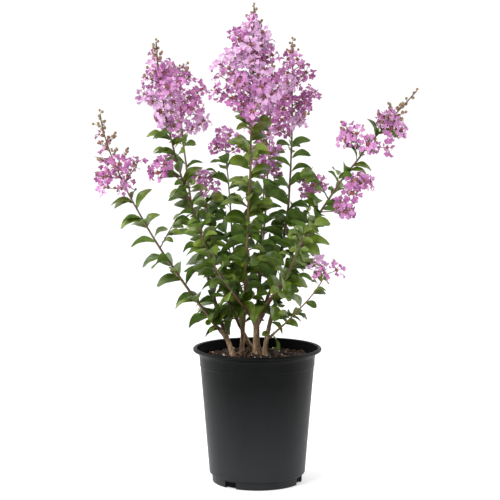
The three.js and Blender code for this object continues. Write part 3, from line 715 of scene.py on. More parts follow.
def grow_panicle_branch(name, sizes, share, azimuth, size, look, random, fine):
    """A branch of a panicle: shorter towards the top, and drawn in at the foot if it narrows."""
    path = PATHS[name]
    height = lerp(SHOOTS[name].bloom + NEAR, path.tip[2] - sizes.spike, share)
    heavy, gain = sizes.heavy or (0, 0)
    gained = 1 + gain * math.cos(azimuth - math.radians(heavy))
    drawn_in = (sizes.drawn_in or 0) * (1 - share) ** 4
    length = lerp(sizes.reach, sizes.top, share) * (1 - drawn_in) * (gained * size)
    direction = outward(path.direction(height), azimuth, BRANCH.lean)
    grow_branch(stem_of(name), path.at(height), direction, length, look, random, fine)


def grow_panicle(name, sizes, seed):
    random, fine = Seeded(seed), Seeded(seed + SEEDS.fine)
    full = FULLNESS.get(name, USUAL_FULLNESS)
    count = sizes.branches
    for i in range(count):
        azimuth = i * GOLDEN_ANGLE + seed + random.about(BRANCH.wander)
        size = random.between(*BRANCH.vary)
        look = branch_look(name, i / count, fine, sizes.buds, full)
        grow_panicle_branch(name, sizes, i / count, azimuth, size, look, random, fine)
    for i in range(count):
        if fine() > full:
            continue
        share = (i + 0.5) / count
        azimuth = i * GOLDEN_ANGLE + seed + math.pi + fine.about(FILLING.wander)
        size = fine.between(*FILLING.vary)
        look = branch_look(name, share, fine, sizes.buds + FILLING.buds, full)
        grow_panicle_branch(name, sizes, share, azimuth, size, look, fine, fine)
    if sizes.spike:
        grow_spike(name, sizes.spike, random, fine)
    else:
        path = PATHS[name]
        top = path.tip[2]
        bloom(path.at(top - FLOWER.sunk), path.direction(top), 1, tint_of(name, 1, fine))


def grow_side_panicle(name, sizes, seed):
    """A panicle on a stalk of its own, bare as far as its first branch."""
    random, fine = Seeded(seed), Seeded(seed + SEEDS.fine)
    foot, tip = PATHS[sizes.parent].at(sizes.height), vec(*sizes.tip)
    along = tip - foot
    axis = unit(along)
    wood = stem_of(sizes.parent)
    grow_twig(wood, foot, axis, np.linalg.norm(along), STALK.radius * ROUND_TWIG, steps=8)
    for i in range(sizes.branches):
        share = i / sizes.branches
        start = foot + along * lerp(STALK.bare, 1, share)
        direction = outward(axis, i * GOLDEN_ANGLE + seed, STALK.lean)
        look = branch_look(name, share, fine, STALK.buds, USUAL_FULLNESS, SIDE_LOOK)
        length = lerp(sizes.reach, sizes.top, share)
        grow_branch(wood, start, direction, length, look, random, fine)
    bloom(tip - axis * FLOWER.sunk, axis, 1, tint_of(name, 1, fine))


def grow_long_branches():
    fine = Seeded(SEEDS.fine + 1)
    for name, height, azimuth, length in LONG_BRANCHES:
        path = PATHS[name]
        direction = outward(path.direction(height), math.radians(azimuth), BRANCH.lean)
        look = branch_look(name, LONG_LOOK.share, fine, LONG_LOOK.buds, LONG_LOOK.full, SIDE_LOOK)
        grow_branch(stem_of(name), path.at(height), direction, length, look, fine, fine)


# ---- Growing: leaves ----

def set_leaf(start, aim, length, roll, age, look, room=CROWDED.leaf):
    """Grows a leaf if its midrib keeps clear of the others. Gives whether it did."""
    spots = start + aim * length * vec(*MIDRIB.along)[:, None]
    spots[:, 2] += length * vec(*MIDRIB.rise)
    if not crowd.room_for(spots[1:], CROWDED.leaf_radius, room):
        return False
    crowd.take(spots, CROWDED.leaf_radius)
    leaves[age].append((*start, *aim, length, roll, *look))
    return True


def leaf_look(random, share):
    """width as a share of the length, how round, fold, wave, recurve, and a phase."""
    round_leaf = random() < lerp(*LEAF_LOOK.round_odds, share)
    width = random.between(*(LEAF_LOOK.round_width if round_leaf else LEAF_LOOK.width))
    drawn = [random.between(*reach)
             for reach in (LEAF_LOOK.fold, LEAF_LOOK.wave, LEAF_LOOK.recurve)]
    return (width, 1.0 if round_leaf else 0.0, *drawn, random.between(0, FULL_TURN))


def age_of(share, random):
    """The age of a leaf at a share of the way up its shoot."""
    draw = AGE.gain * share + random.between(*AGE.vary)
    return "old" if draw < AGE.full else "full" if draw < AGE.young else "young"


def draw_leaf(start, aim, length, share, younger, room, fine):
    """A leaf whose roll, age and form are drawn."""
    roll, age = fine.between(*LEAF.roll), age_of(share + younger, fine)
    return set_leaf(start, aim, length, roll, age, leaf_look(fine, share), room)


def grow_leafy_twig(wood, origin, direction, share, random, fine):
    """A twig of the source, with its leaves to both sides."""
    grow_twig(wood, origin, direction, TWIG.length, TWIG.radius, sag=TWIG_LOOK.sag)
    younger = share + TWIG_LOOK.younger
    for i in range(TWIG.leaves):
        part = (i + 1) / TWIG.leaves
        start = origin + direction * TWIG.length * part * TWIG.last
        spread = lerp(*TWIG.spread, part) * (1 if i % 2 else -1)
        azimuth = math.atan2(direction[1], direction[0]) + spread
        length = LEAF.length * TWIG.leaf_scale * random.between(*LEAF.vary)
        set_leaf(start, outward(direction, azimuth, TWIG.leaf_lean),
                 length * lerp(*TWIG_LOOK.size, part), random.between(*LEAF.roll),
                 age_of(younger, fine), leaf_look(fine, younger))


def grow_node(name, height, azimuth, length, share, fine):
    """A leaf of the shoot itself, turned until it finds room, and what grows in its axil."""
    start, axis = PATHS[name].at(height), PATHS[name].direction(height)
    for tried, turned_by in enumerate(LEAF_TURNS):
        aim = outward(axis, azimuth + turned_by, fine.between(*LEAF.lean))
        room = lerp(*CROWDED.turned_leaf, tried / len(LEAF_TURNS))
        if draw_leaf(start, aim, length, share, 0, room, fine):
            break
    draw = fine() + (name in PLAIN_ARMS)
    if draw < SPUR.odds:
        grow_spur(stem_of(name), start, outward(axis, azimuth, SPUR.lean), share, fine)
    elif draw < AXIL.odds:
        for side in AXIL.sides:
            aim = outward(axis, azimuth + side + fine.about(AXIL.wander), AXIL.lean)
            draw_leaf(start, aim, fine.between(*AXIL.length), share, AXIL.younger,
                      CROWDED.small_leaf, fine)


def grow_spur(wood, start, axis, share, fine):
    """A short side shoot with a pair of leaves and one at its end."""
    length = fine.between(*SPUR.length)
    grow_twig(wood, start, axis, length, SPUR.radius)
    heading = math.atan2(axis[1], axis[0])
    for part, side, lean in SPUR.places:
        aim = outward(axis, heading + side + fine.about(SPUR.wander), lean)
        draw_leaf(start + axis * length * part, aim, fine.between(*SPUR.leaf), share,
                  SPUR.younger, CROWDED.small_leaf, fine)


def spread_out(name, azimuth):
    """Draws an azimuth towards the two sides, on the shoots whose pairs lie in one plane."""
    return azimuth - (SHOOTS[name].spread or 0) * math.sin(2 * azimuth) / 2


def tip_of_leaves(name):
    """The height where a shoot's leaves end, below its blossom or at its tip."""
    return SHOOTS[name].bloom or PATHS[name].tip[2]


def fade_of(name, share):
    """How much smaller a pair's leaves are than the largest, a little below the middle."""
    fade = DWINDLED * PAIRS.dwindle * abs(2 * (share - PAIRS.largest)) ** PAIRS.bulge
    if name in LAST_PAIRS.shoots:
        fade += LAST_PAIRS.fade * max(0, share - LAST_PAIRS.above)
    return fade


def grow_pair_leaf(name, height, azimuth, share, random, fine):
    """One leaf of a pair, or the leafy twig that the source has in its place. Gives the heights
    of its nodes, with that of another leaf a quarter round and half a step up on dense shoots."""
    usual = LEAF.length * SMALL_LEAVES.get(name, 1)
    length = usual * (1 - fade_of(name, share)) * random.between(*LEAF.vary)
    start, axis = PATHS[name].at(height), PATHS[name].direction(height)
    aim = outward(axis, azimuth, random.between(*LEAF.lean))
    random()  # the roll of the source's leaf, which has one of its own here
    if random() < TWIG.odds and share < TWIG.highest:
        grow_leafy_twig(stem_of(name), start, aim, share, random, fine)
        return [height]
    grow_node(name, height, azimuth, length, share, fine)
    if fine() >= DENSE_SHOOTS.get(name, 0):
        return [height]
    higher = min(height + PAIRS.spacing / 2, tip_of_leaves(name))
    azimuth = spread_out(name, azimuth + math.pi / 2 + fine.about(BETWEEN.wander))
    grow_node(name, higher, azimuth, usual * fine.between(*BETWEEN.size), share, fine)
    return [height, higher]


def grow_leaves(name, seed):
    """The leaves of a shoot, pair by pair. Gives the heights of its nodes."""
    random, fine = Seeded(seed), Seeded(seed + SEEDS.fine)
    bottom, top = SHOOTS[name].leaves, tip_of_leaves(name)
    pairs = whole((top - bottom) / PAIRS.spacing)
    nodes = []
    for pair in range(pairs):
        share = (pair + 0.5) / pairs
        turn = pair % 2 * math.pi / 2 + random.about(PAIRS.wander) + PAIRS.start
        for half in (0, 1):
            height = lerp(bottom, top, share) + (half - 0.5) * PAIRS.spacing * PAIRS.stagger
            azimuth = spread_out(name, turn + half * math.pi + random.about(PAIRS.skew))
            nodes += grow_pair_leaf(name, height, azimuth, share, random, fine)
    if not SHOOTS[name].bloom:
        grow_tip_leaves(PATHS[name], top, fine)
    return nodes


def grow_tip_leaves(path, top, fine):
    """A few leaves round the tip of a shoot without blossom."""
    for i in range(TIP_LEAVES.count):
        aim = outward(path.direction(top), i * GOLDEN_ANGLE, TIP_LEAVES.lean)
        set_leaf(path.at(top), aim, fine.between(*TIP_LEAVES.length), TIP_LEAVES.roll, "full",
                 leaf_look(fine, 1), CROWDED.tip_leaf)


def grow_single_leaves():
    fine = Seeded(SEEDS.fine)
    for name, height, azimuth, lean, length in SINGLE_LEAVES:
        aim = outward(PATHS[name].direction(height), math.radians(azimuth), lean)
        set_leaf(PATHS[name].at(height), aim, length, SINGLE_ROLL, "full", leaf_look(fine, 0),
                 CROWDED.single_leaf)


# ---- Wood ----

def grow_young_wood(name, nodes):
    """A shoot above its bark, wavering a little, with a slight swelling where each leaf grows."""
    path = PATHS[name]
    heights = np.arange(SHOOTS[name].leaves - 2, path.tip[2] + 1, WOOD.step)
    centres = path.at(heights)
    waver = [ripples(centres, WOOD.waver_length, seed) for seed in SEEDS.wobble]
    wobble = WOOD.waver * np.stack(waver, axis=1)
    wobble[:2] = 0
    radii = radius_of(name, heights)
    for node in nodes:
        radii = radii * (1 + NODE.swell * np.exp(-((heights - node) / NODE.height) ** 2))
    tube(stem_of(name), centres + wobble, radii, WOOD.sides)


def bark_relief(seed):
    """Long flaky plates with thin edges, and a few lumps, as a height over the limb."""
    def relief(points):
        drawn_out = points * vec(1, 1, BARK.stretch)
        large, small = BARK.plates
        plates = ripples(drawn_out, large, seed) + 0.5 * ripples(drawn_out, small, seed + 1)
        flakes = 1 / (1 + np.exp(-plates * BARK.plate_edge))
        spacing, breadth = BARK.fissure
        fissures = -np.exp(-(ripples(drawn_out, spacing, seed + 2) / breadth) ** 2)
        lumps = ripples(points, BARK.lump, seed + 3)
        return BARK.flakes * flakes + BARK.fissures * fissures + BARK.lumps * lumps
    return relief


def grow_bark():
    """The barked foot of every limb, sunk in the soil or with a collar on its parent."""
    heap = Heap()
    for i, name in enumerate(SHOOTS):
        path = PATHS[name]
        foot = path.foot[2]
        bottom = foot - (BARK.below if rooted(name) else 0)
        heights = np.arange(bottom, SHOOTS[name].leaves or path.tip[2], BARK.step)
        radii = radius_of(name, np.maximum(heights, foot))
        if not rooted(name):
            radii *= 1 + BARK.collar * np.exp(-(heights - bottom) / BARK.collar_height)
        centres = path.at(heights) - UP * np.maximum(foot - heights, 0)[:, None]
        tube(heap, centres, radii, BARK.sides, bark_relief(SEEDS.bark + 5 * i))
    return heap


# ---- Leaves as meshes ----

def blade_axes(data):
    """Where each leaf starts, its axes along and above it, and those across and off its blade,
    which is rolled about its midrib."""
    origin, direction = data[:, 0:3], unit(data[:, 3:6])
    above = unit(UP - direction * direction[:, 2:3])
    level = np.cross(above, direction)
    inwards = np.sign(-(level * unit(origin * vec(1, 1, 0))).sum(-1))
    turn = (inwards * data[:, 7] * LEAF_LOOK.roll)[:, None]
    return origin, direction, above, swing(level, above, turn), swing(above, -level, turn)


def grow_blades(records, tops, undersides):
    """The upper and the lower sheets of leaves, which share their outline."""
    data = np.array(records)
    origin, *axes = blade_axes(data)
    size, _, width, rounded, fold, wave, recurve, phase = data[:, 6:14].T[..., None, None]
    f = np.linspace(0, 1, LEAF_LOOK.stations)[:, None]
    u = np.linspace(-1, 1, LEAF_LOOK.across)
    stalk = LEAF_LOOK.petiole / size
    g = np.clip((f - stalk) / (1 - stalk), 0, 1)
    pointed, blunt = (np.sin(math.pi * g ** lowered) ** fullness
                      for lowered, fullness in (LEAF_LOOK.pointed, LEAF_LOOK.blunt))
    outline = lerp(pointed, blunt, rounded)
    half = size * (width / 2 * outline + LEAF_LOOK.petiole_width)
    bend = fold * np.sin(math.pi * f) ** 0.5
    swell = np.sin(FULL_TURN * LEAF_LOOK.waves * f + phase + math.pi * (u > 0))
    lift = half * np.abs(u) ** LEAF_LOOK.curl * np.sin(bend)
    lift = lift + wave * size * swell * u ** 2 * outline
    drop = LEAF_LOOK.rise * f - LEAF_LOOK.drop * f ** 2 - recurve * f ** 4
    along = f * size * (1 - LEAF_LOOK.shorten * recurve * f ** 3) - LEAF.sunk

    rim = LEAF_LOOK.rim

    def sheet(offset):
        thinned = (1 - u ** 2) * np.clip(rim * f, 0, 1) * np.clip(rim * (1 - f), 0, 1)
        parts = np.broadcast_arrays(along, size * drop, half * u * np.cos(bend),
                                    lift + offset * thinned)
        local = np.stack(parts, axis=-1).reshape(len(data), -1, 4)
        return laid_out(origin, local, *axes)

    faces = grid_faces(LEAF_LOOK.stations, LEAF_LOOK.across)
    uv = np.stack(np.broadcast_arrays((u + 1) / 2, f), axis=-1).reshape(-1, 2)
    thick = LEAF_LOOK.thickness
    tops.add(sheet(thick), faces, uv=uv)
    undersides.add(sheet(-thick * LEAF_LOOK.under), faces[:, ::-1], uv=uv)


# ---- Flowers as meshes ----

def unzipped(records):
    return [np.array(column) for column in zip(*records)]


def crinkled(blade, phase):
    """The blade of each petal about its centre: a point and then its rings, as coordinates."""
    theta = around(PETAL.sides)
    rings = [np.zeros((len(blade), 1, 3))]
    for ring in range(1, PETAL.rings + 1):
        share = ring / PETAL.rings
        rounded = np.abs(np.cos(PETAL.lobes / 2 * theta + phase[0])) ** 0.7
        lobes = 1 + PETAL.lobe_depth * share ** 2 * (rounded - 0.7)
        lobes = lobes + PETAL.oval * share * np.cos(2 * theta + phase[3])
        ruffle = PETAL.ruffle * share ** 2 * np.sin(2 * theta + phase[1])
        frill = PETAL.frill * share ** 3 * np.sin(6 * theta + phase[2])
        rings.append(polar(blade * share * lobes, theta, ruffle + frill - PETAL.cup * share ** 2))
    return np.concatenate(rings, axis=1)


def grow_petals(records, dice):
    """Six clawed, crinkled petals round each flower."""
    origins, directions, scales = unzipped(records)
    each, count = (len(origins), PETAL.count), len(origins) * PETAL.count
    across, over = frames(directions)
    angle = (dice.uniform(0, FULL_TURN, (len(origins), 1)) + around(PETAL.count)
             + dice.normal(0, PETAL.skew, each))
    radial = swing(across[:, None], over[:, None], angle[..., None]).reshape(count, 3)
    root, axial, size = (np.repeat(part, PETAL.count, axis=0)
                          for part in (origins, directions, scales))
    size = size[:, None]
    tangent = np.cross(axial, radial)

    tilt = dice.normal(*PETAL.tilt, (count, 1))
    twist = dice.normal(0, PETAL.twist, (count, 1))
    out = swing(radial, axial, tilt)
    wide = swing(tangent, np.cross(out, tangent), twist)
    reach, height = (dice.normal(at, stray, (count, 1))
                     for at, stray in zip(PETAL.blade_at, PETAL.blade_stray))
    centre = root + size * (radial * reach + axial * height)
    blade = PETAL.blade * dice.uniform(*PETAL.vary, (count, 1))
    phase = dice.uniform(0, FULL_TURN, (4, count, 1))
    local = size[..., None] * crinkled(blade, phase)
    heap = Heap()
    heap.add(laid_out(centre, local, out, wide, np.cross(out, wide)), *blade_faces())

    outwards, upwards = PETAL.claw_root
    foot = root + size * (radial * outwards + axial * upwards)
    end = centre - out * size * blade * PETAL.claw_end
    corners = size[..., None] * PETAL.claw_width / 2 * vec((-1, 0), (1, 0), (0, 0.8))
    claws = [laid_out(at, corners, tangent, axial) for at in (foot, end)]
    heap.add(np.concatenate(claws, axis=1), grid_faces(2, 3, closed=True))
    return heap


def blade_faces():
    """A fan round the middle of a petal's blade, and the quads between its rings."""
    sides = PETAL.sides
    corners = np.arange(sides)
    fan = np.stack([0 * corners, 1 + (corners + 1) % sides, 1 + corners], axis=1)
    return fan, grid_faces(PETAL.rings, sides, closed=True) + 1


def spun_copies(template, faces, records, dice):
    """Copies of a turned form, one to each record, each spun by chance."""
    heap = Heap()
    spins = dice.uniform(0, FULL_TURN, len(records))
    heap.add(placed(template, *unzipped(records), spins), faces)
    return heap


def grow_calyces(records, dice, sides=12):
    """Pedicel and calyx of each flower, with six pointed lobes."""
    template, faces = turned_template(CALYX, sides)
    mouth, teeth = template[3 * sides:4 * sides], template[4 * sides:5 * sides]
    teeth[1::2] = (mouth * vec(TEETH, TEETH, 1))[1::2]
    return spun_copies(template, faces, records, dice)


def grow_buds(records, dice):
    """Round, faintly six-ridged buds on short stalks."""
    radius, length = BUD.radius, BUD.length
    middle = length - radius
    (foot, top), (point, beyond) = BUD_SHAPE.stalk, BUD_SHAPE.point
    profile = [(foot, 0), (top, middle - BUD_SHAPE.neck * radius)]
    for angle in np.radians(BUD_SHAPE.rings):
        profile.append((radius * math.cos(angle), middle + radius * math.sin(angle)))
    profile.append((point, length + beyond))
    template = turned_template(profile, BUD_SHAPE.sides, BUD_SHAPE.ridge)
    return spun_copies(*template, records, dice)


def grow_stamens(records, dice):
    """Yellow anthers on thin filaments in the mouth of each flower."""
    origins, directions, scales = (
        np.repeat(part, STAMEN.count, axis=0) for part in unzipped(records))
    count, size = len(scales), scales[:, None]
    angle = dice.uniform(0, FULL_TURN, (count, 1))
    reach = STAMEN.spread * np.sqrt(dice.uniform(0.05, 1, (count, 1)))
    height = dice.uniform(*STAMEN.height, (count, 1)) - STAMEN.foot
    root = origins + directions * size * STAMEN.foot
    rise = size * (swing(*frames(directions), angle) * reach + directions * height)
    aim, spin = unit(rise), angle[:, 0]
    anther = vec((1, 0, 0), (0, 1, 0), (-1, 0, 0), (0, -1, 0), (0, 0, 1.3), (0, 0, -1.3))
    anther_faces = np.array([(0, 1, 4), (1, 2, 4), (2, 3, 4), (3, 0, 4), (1, 0, 5), (2, 1, 5),
                             (3, 2, 5), (0, 3, 5)])
    heap = Heap()
    heap.add(placed(anther * STAMEN.anther, root + rise, aim, scales, spin), anther_faces)
    thread, thread_faces = turned_template([(STAMEN.filament, 0), (STAMEN.filament, 1)], 3)
    threads = placed(thread, root, aim, np.ones(count), spin)
    threads[:, 3:] += (rise - aim)[:, None]
    heap.add(threads, thread_faces)
    return heap


# ---- Pot and soil ----

def lathe(profile, sides):
    """A turned form whose profile starts and ends on the axis."""
    heap = Heap()
    template, faces = turned_template(profile[1:-1], sides)
    ends = vec((0, 0, profile[0][1]), (0, 0, profile[-1][1]))
    heap.add(np.concatenate([template, ends])[None], faces, cap_faces(len(profile) - 2, sides))
    return heap


def arc(x, z, width, height, start, end, steps):
    """Points of an arc about x and z in a profile, from one angle in degrees to another."""
    return [(x + width * math.cos(a), z + height * math.sin(a))
            for a in np.radians(np.linspace(start, end, steps))]


def inner_wall():
    """The inside of the pot's wall, from the neck down to the floor."""
    p = POT
    foot = p.foot - p.wall
    return [
        (p.neck - p.wall, p.height - p.neck_depth),
        (p.wall_bottom - p.wall, p.foot_height + p.chamfer),
        (foot, p.foot_height - p.chamfer),
        (foot, p.floor),
    ]


def foot_profile():
    """The rounded edge of the pot's foot, and the groove and the rounding above it."""
    foot, step, chamfer, edge = POT.foot, POT.foot_height, POT.chamfer, EDGES.foot
    return [
        (0, 0), *arc(foot - POT.foot_draft - edge, edge, edge, edge, -90, 0, 5),
        (foot - EDGES.groove[0], step - EDGES.groove[1]),
        *arc(foot + EDGES.ledge, step - edge, edge, edge, 180, 90, 5),
        *arc(POT.wall_bottom - chamfer, step + chamfer, chamfer, chamfer, -90, 0, 8),
    ]


def pot_profile():
    """The pot's outline, up the outside from the middle of its underside and down the inside."""
    height, band, neck = POT.height, POT.band, POT.neck
    neck_z, lip_bottom = height - POT.neck_depth, height - POT.lip_depth
    wall_top, band_z = band - POT.band_step, POT.band_bottom
    profile = foot_profile() + [(wall_top + out, band_z - down) for out, down in EDGES.under_band]
    profile += arc(band - EDGES.band[0], band_z, *EDGES.band, -70, 5, 6)
    inwards, down = EDGES.neck
    for share in np.linspace(0.2, 1, 5):
        profile.append((lerp(band, neck - inwards, share ** 1.3),
                        lerp(band_z, neck_z - down, share)))
    (inwards, down), (outwards, under) = EDGES.flare, EDGES.under_lip
    reach = POT.rim - POT.lip_undercut - neck + outwards
    for share in np.linspace(0.1, 0.94, 9):
        flare = 1 - math.sqrt(1 - share ** 2)
        profile.append((neck - inwards + reach * (0.45 * share + 0.55 * flare),
                        lerp(neck_z - down, lip_bottom - under, share ** 0.6)))
    half_lip, lip_in = POT.lip_depth / 2, POT.rim - POT.lip_width
    profile += arc(POT.rim - EDGES.lip, height - half_lip, EDGES.lip, half_lip, -62, 90, 14)
    edge, down = EDGES.lip_inside
    profile += arc(lip_in + edge, height - POT.lip_fall - down, edge, edge, 80, 180, 6)
    inside = inner_wall()
    for share in np.linspace(0.25, 0.9, 5):
        profile.append((lerp(lip_in, inside[0][0], share ** 0.7),
                        lerp(height - EDGES.inside, inside[0][1], share)))
    return profile + inside + [(0, POT.floor)]


def build_pot(material, lining):
    pot = lathe(pot_profile(), EDGES.sides).piece("pot_shell", material, "pot", ["pot"])
    for azimuth in DRAIN.azimuths:
        cutter = drain_cutter(azimuth)
        cut = pot.modifiers.new("drain", "BOOLEAN")
        cut.operation = "DIFFERENCE"
        cut.solver = "EXACT"
        cut.object = cutter
        bpy.context.view_layer.objects.active = pot
        bpy.ops.object.modifier_apply(modifier=cut.name)
        bpy.data.objects.remove(cutter)
    line_pot(pot, lining)


def line_pot(pot, lining):
    """Gives the faces that look inwards, below the lip, the finish of the inside, which paints
    their shade.
    """
    pot.data.materials.append(lining)
    for face in pot.data.polygons:
        # Painted shade: these inward faces get the near-black lining.
        inwards = face.normal.xy.dot(face.center.xy) < 0
        if inwards and face.center.z < (POT.height - POT.lip_fall - EDGES.lining) * MM:
            face.material_index = 1


def drain_cutter(azimuth):
    """A round-cornered block through the foot of the pot."""
    block = bmesh.new()
    bmesh.ops.create_cube(block, size=1)
    bmesh.ops.scale(block, verts=block.verts, vec=(
        2 * DRAIN.depth * MM, DRAIN.width * MM, 2 * DRAIN.height * MM))
    upright = [e for e in block.edges if abs(e.verts[0].co.x - e.verts[1].co.x) > MM]
    bmesh.ops.bevel(block, geom=upright, offset=DRAIN.corner * MM, segments=4, profile=0.5,
                    affect="EDGES")
    cutter = linked("cutter", mesh_of("cutter", block))
    angle, reach = math.radians(azimuth), POT.foot * MM
    cutter.location = (reach * math.cos(angle), reach * math.sin(angle), 0)
    cutter.rotation_euler = (0, 0, angle)
    bpy.context.view_layer.update()
    return cutter


def soil_edge():
    """Radius and height of the soil's edge, a gap clear of the pot's wall."""
    neck, wall_bottom = inner_wall()[:2]
    z = SOIL.top - SOIL.shoulder
    share = (z - wall_bottom[1]) / (neck[1] - wall_bottom[1])
    return lerp(wall_bottom[0], neck[0], share) - GAP, z


def soil_height(points):
    """The height of the crumbly surface at points."""
    flat = points * vec(1, 1, 0)
    radius = np.linalg.norm(flat, axis=-1)
    edge = soil_edge()[0]
    fall = SOIL.shoulder * np.clip((radius - edge + SOIL.slope) / SOIL.slope, 0, 1)
    rough = sum(depth * ripples(flat, size, SEEDS.soil + i)
                for i, (depth, size) in enumerate(CRUMBS.rough))
    return SOIL.top - CRUMBS.below - fall + rough * np.clip((edge - radius) / CRUMBS.level, 0, 1)


def build_soil(material):
    edge, edge_z = soil_edge()
    _, _, foot_top, floor = inner_wall()
    bottom, wall = floor[1] + GAP, floor[0] - GAP
    profile = [(0, bottom), (wall, bottom), (wall, foot_top[1])]
    profile += [(radius, edge_z) for radius in np.linspace(edge, 1.0, CRUMBS.rings)]
    heap = lathe(profile + [(0, edge_z)], CRUMBS.sides)
    points = heap.points[0]
    on_top = points[:, 2] >= edge_z - 0.01
    points[on_top, 2] = soil_height(points[on_top])
    heap.piece("soil_bed", material, "soil", ["soil"])


def chip_shapes(dice, count, slab):
    """Angular chips: six-cornered slabs with every corner moved a little."""
    corners = (count, CHIP.corners)
    angles = around(CHIP.corners) + dice.normal(0, CHIP.turned, corners)
    radius = dice.uniform(*CHIP.radius, corners)
    points = np.concatenate([polar(radius, angles, -slab),
                             polar(radius * CHIP.upper, angles, slab)], axis=1)
    return points + dice.normal(0, CHIP.moved, points.shape)


def scatter(dice, lift, count, size, aspect, slab, tilt):
    """Chips strewn over the soil, lifted by as much as they are thick."""
    points = chip_shapes(dice, count, slab) * dice.uniform(*size, (count, 1, 1)) / 2
    points[..., 1:2] *= dice.uniform(*aspect, (count, 1, 1))
    heading = dice.uniform(0, FULL_TURN, count)
    lean_x, lean_y = dice.normal(0, tilt, (2, count))
    normal = unit(np.stack([lean_x, lean_y, np.ones(count)], axis=1))
    x = polar(1, heading)
    x = unit(x - normal * (x * normal).sum(-1, keepdims=True))
    radius = (soil_edge()[0] - STREWN.edge) * np.sqrt(dice.uniform(0, 1, count))
    at = polar(radius, dice.uniform(0, FULL_TURN, count))
    at[:, 2] = soil_height(at) + lift
    lower = np.arange(CHIP.corners)
    upper = lower + CHIP.corners
    heap = Heap()
    heap.add(laid_out(at, points, x, np.cross(normal, x), normal),
             np.stack([lower, np.roll(lower, -1), np.roll(upper, -1), upper], axis=1),
             np.stack([np.roll(lower[::-1], 1), upper]))
    return heap


# ---- Materials ----

def linear(colour):
    """A colour of three numbers, as the eye sees it, in Blender's linear ones."""
    if not isinstance(colour, tuple) or len(colour) > 3:
        return colour
    return (*[((c / 255 + 0.055) / 1.055) ** 2.4 if c > 10 else c / 255 / 12.92
              for c in colour], 1.0)


class Recipe:
    """A material as it is put together: each call adds a node and gives back its output."""

    def __init__(self, name):
        self.material = bpy.data.materials.new(name)
        self.material.use_nodes = True
        self.tree = self.material.node_tree
        self.place = self.node("ShaderNodeTexCoord", "Object")

    def feed(self, socket, value):
        if isinstance(value, bpy.types.NodeSocket):
            self.tree.links.new(value, socket)
        else:
            socket.default_value = value

    def node(self, kind, output=0, inputs=None, **settings):
        made = self.tree.nodes.new(kind)
        for key, value in settings.items():
            setattr(made, key, value)
        for key, value in (inputs or {}).items():
            self.feed(made.inputs[key], value)
        return made.outputs[output]

    def texture(self, kind, output, size, stretch, feature=None, **inputs):
        """A texture whose grains are size millimetres across, drawn out where it is stretched."""
        vector = self.place
        if stretch:
            vector = self.node("ShaderNodeMapping", 0, {"Vector": vector, "Scale": stretch})
        inputs.update(Vector=vector, Scale=1 / (size * MM))
        settings = {"feature": feature} if feature else {}
        return self.node(kind, output, inputs, **settings)

    def noise(self, size, detail=3.0, roughness=0.55, stretch=None, distortion=0.0):
        return self.texture("ShaderNodeTexNoise", "Fac", size, stretch, Detail=detail,
                            Roughness=roughness, Distortion=distortion)

    def cells(self, size, feature="F1", stretch=None):
        return self.texture("ShaderNodeTexVoronoi", "Distance", size, stretch, feature)

    def height(self):
        return self.node("ShaderNodeSeparateXYZ", "Z", {"Vector": self.place})

    def ramp(self, factor, start=0.0, end=1.0, low=0.3, high=0.7):
        """What lies between low and high, as noise does, drawn out to start and end."""
        return self.node("ShaderNodeMapRange", 0, {
            "Value": factor, "From Min": low, "From Max": high, "To Min": start, "To Max": end})

    def mix(self, factor, first, second):
        return self.node("ShaderNodeMix", 2, {0: factor, 6: linear(first), 7: linear(second)},
                         data_type="RGBA")

    def clouds(self, factor, first, second):
        """Two colours in clouds with rather clear edges."""
        return self.mix(self.ramp(factor, low=0.36, high=0.64), first, second)

    def math(self, operation, first, second=0.0):
        return self.node("ShaderNodeMath", 0, {0: first, 1: second}, operation=operation)

    def relief(self, height, depth, strength=1.0, under=None):
        """A bump of depth millimetres, over another one if there is one."""
        inputs = {"Height": height, "Distance": depth * MM, "Strength": strength}
        if under is not None:
            inputs["Normal"] = under
        return self.node("ShaderNodeBump", "Normal", inputs)

    def finish(self, colour, roughness, normal, **others):
        """Sets colour, roughness and relief, and then any other inputs by name."""
        shader = self.tree.nodes["Principled BSDF"]
        given = {"Base Color": colour, "Roughness": roughness, "Normal": normal, **others}
        for key, value in given.items():
            self.feed(shader.inputs[key.replace("_", " ")], value)
        return self.material


def pot_plastic():
    """Black moulded plastic with fine stipple, lighter towards the floor with dust and with
    painted light bounced up from the floor.
    """
    r = Recipe("pot_black_plastic")
    flow = r.noise(40, 4, stretch=(1, 1, 0.18))
    height = r.height()
    # Lighter towards the floor: dust, and painted light that the floor bounces onto the wall, with
    # a streaky random tone.
    dust_and_painted_bounce = r.math("ADD", r.ramp(height, 0.0, 0.9, 0.19, 0.03), r.ramp(flow, -0.06, 0.06))
    stipple = r.relief(r.noise(0.9, 2), 0.04, 0.4)
    return r.finish(r.mix(dust_and_painted_bounce, (7, 8, 9), (44, 45, 47)), r.ramp(r.noise(14, 5), 0.38, 0.46),
                    r.relief(flow, 0.3, 0.2, stipple),
                    Specular_IOR_Level=r.ramp(height, 0.115, 0.085, 0.06, 0.24))


def pot_inside_shade():
    """The inside of the pot, matt and nearly black as painted shade."""
    r = Recipe("pot_inside_painted_shade")
    flow = r.noise(18, 4)
    # Painted shade: the inside of the pot is nearly black and matt.
    return r.finish(r.mix(r.ramp(flow), (5, 5, 6), (11, 11, 12)), r.ramp(flow, 0.72, 0.85),
                    r.relief(r.noise(0.9, 2), 0.04, 0.4), Specular_IOR_Level=0.04)


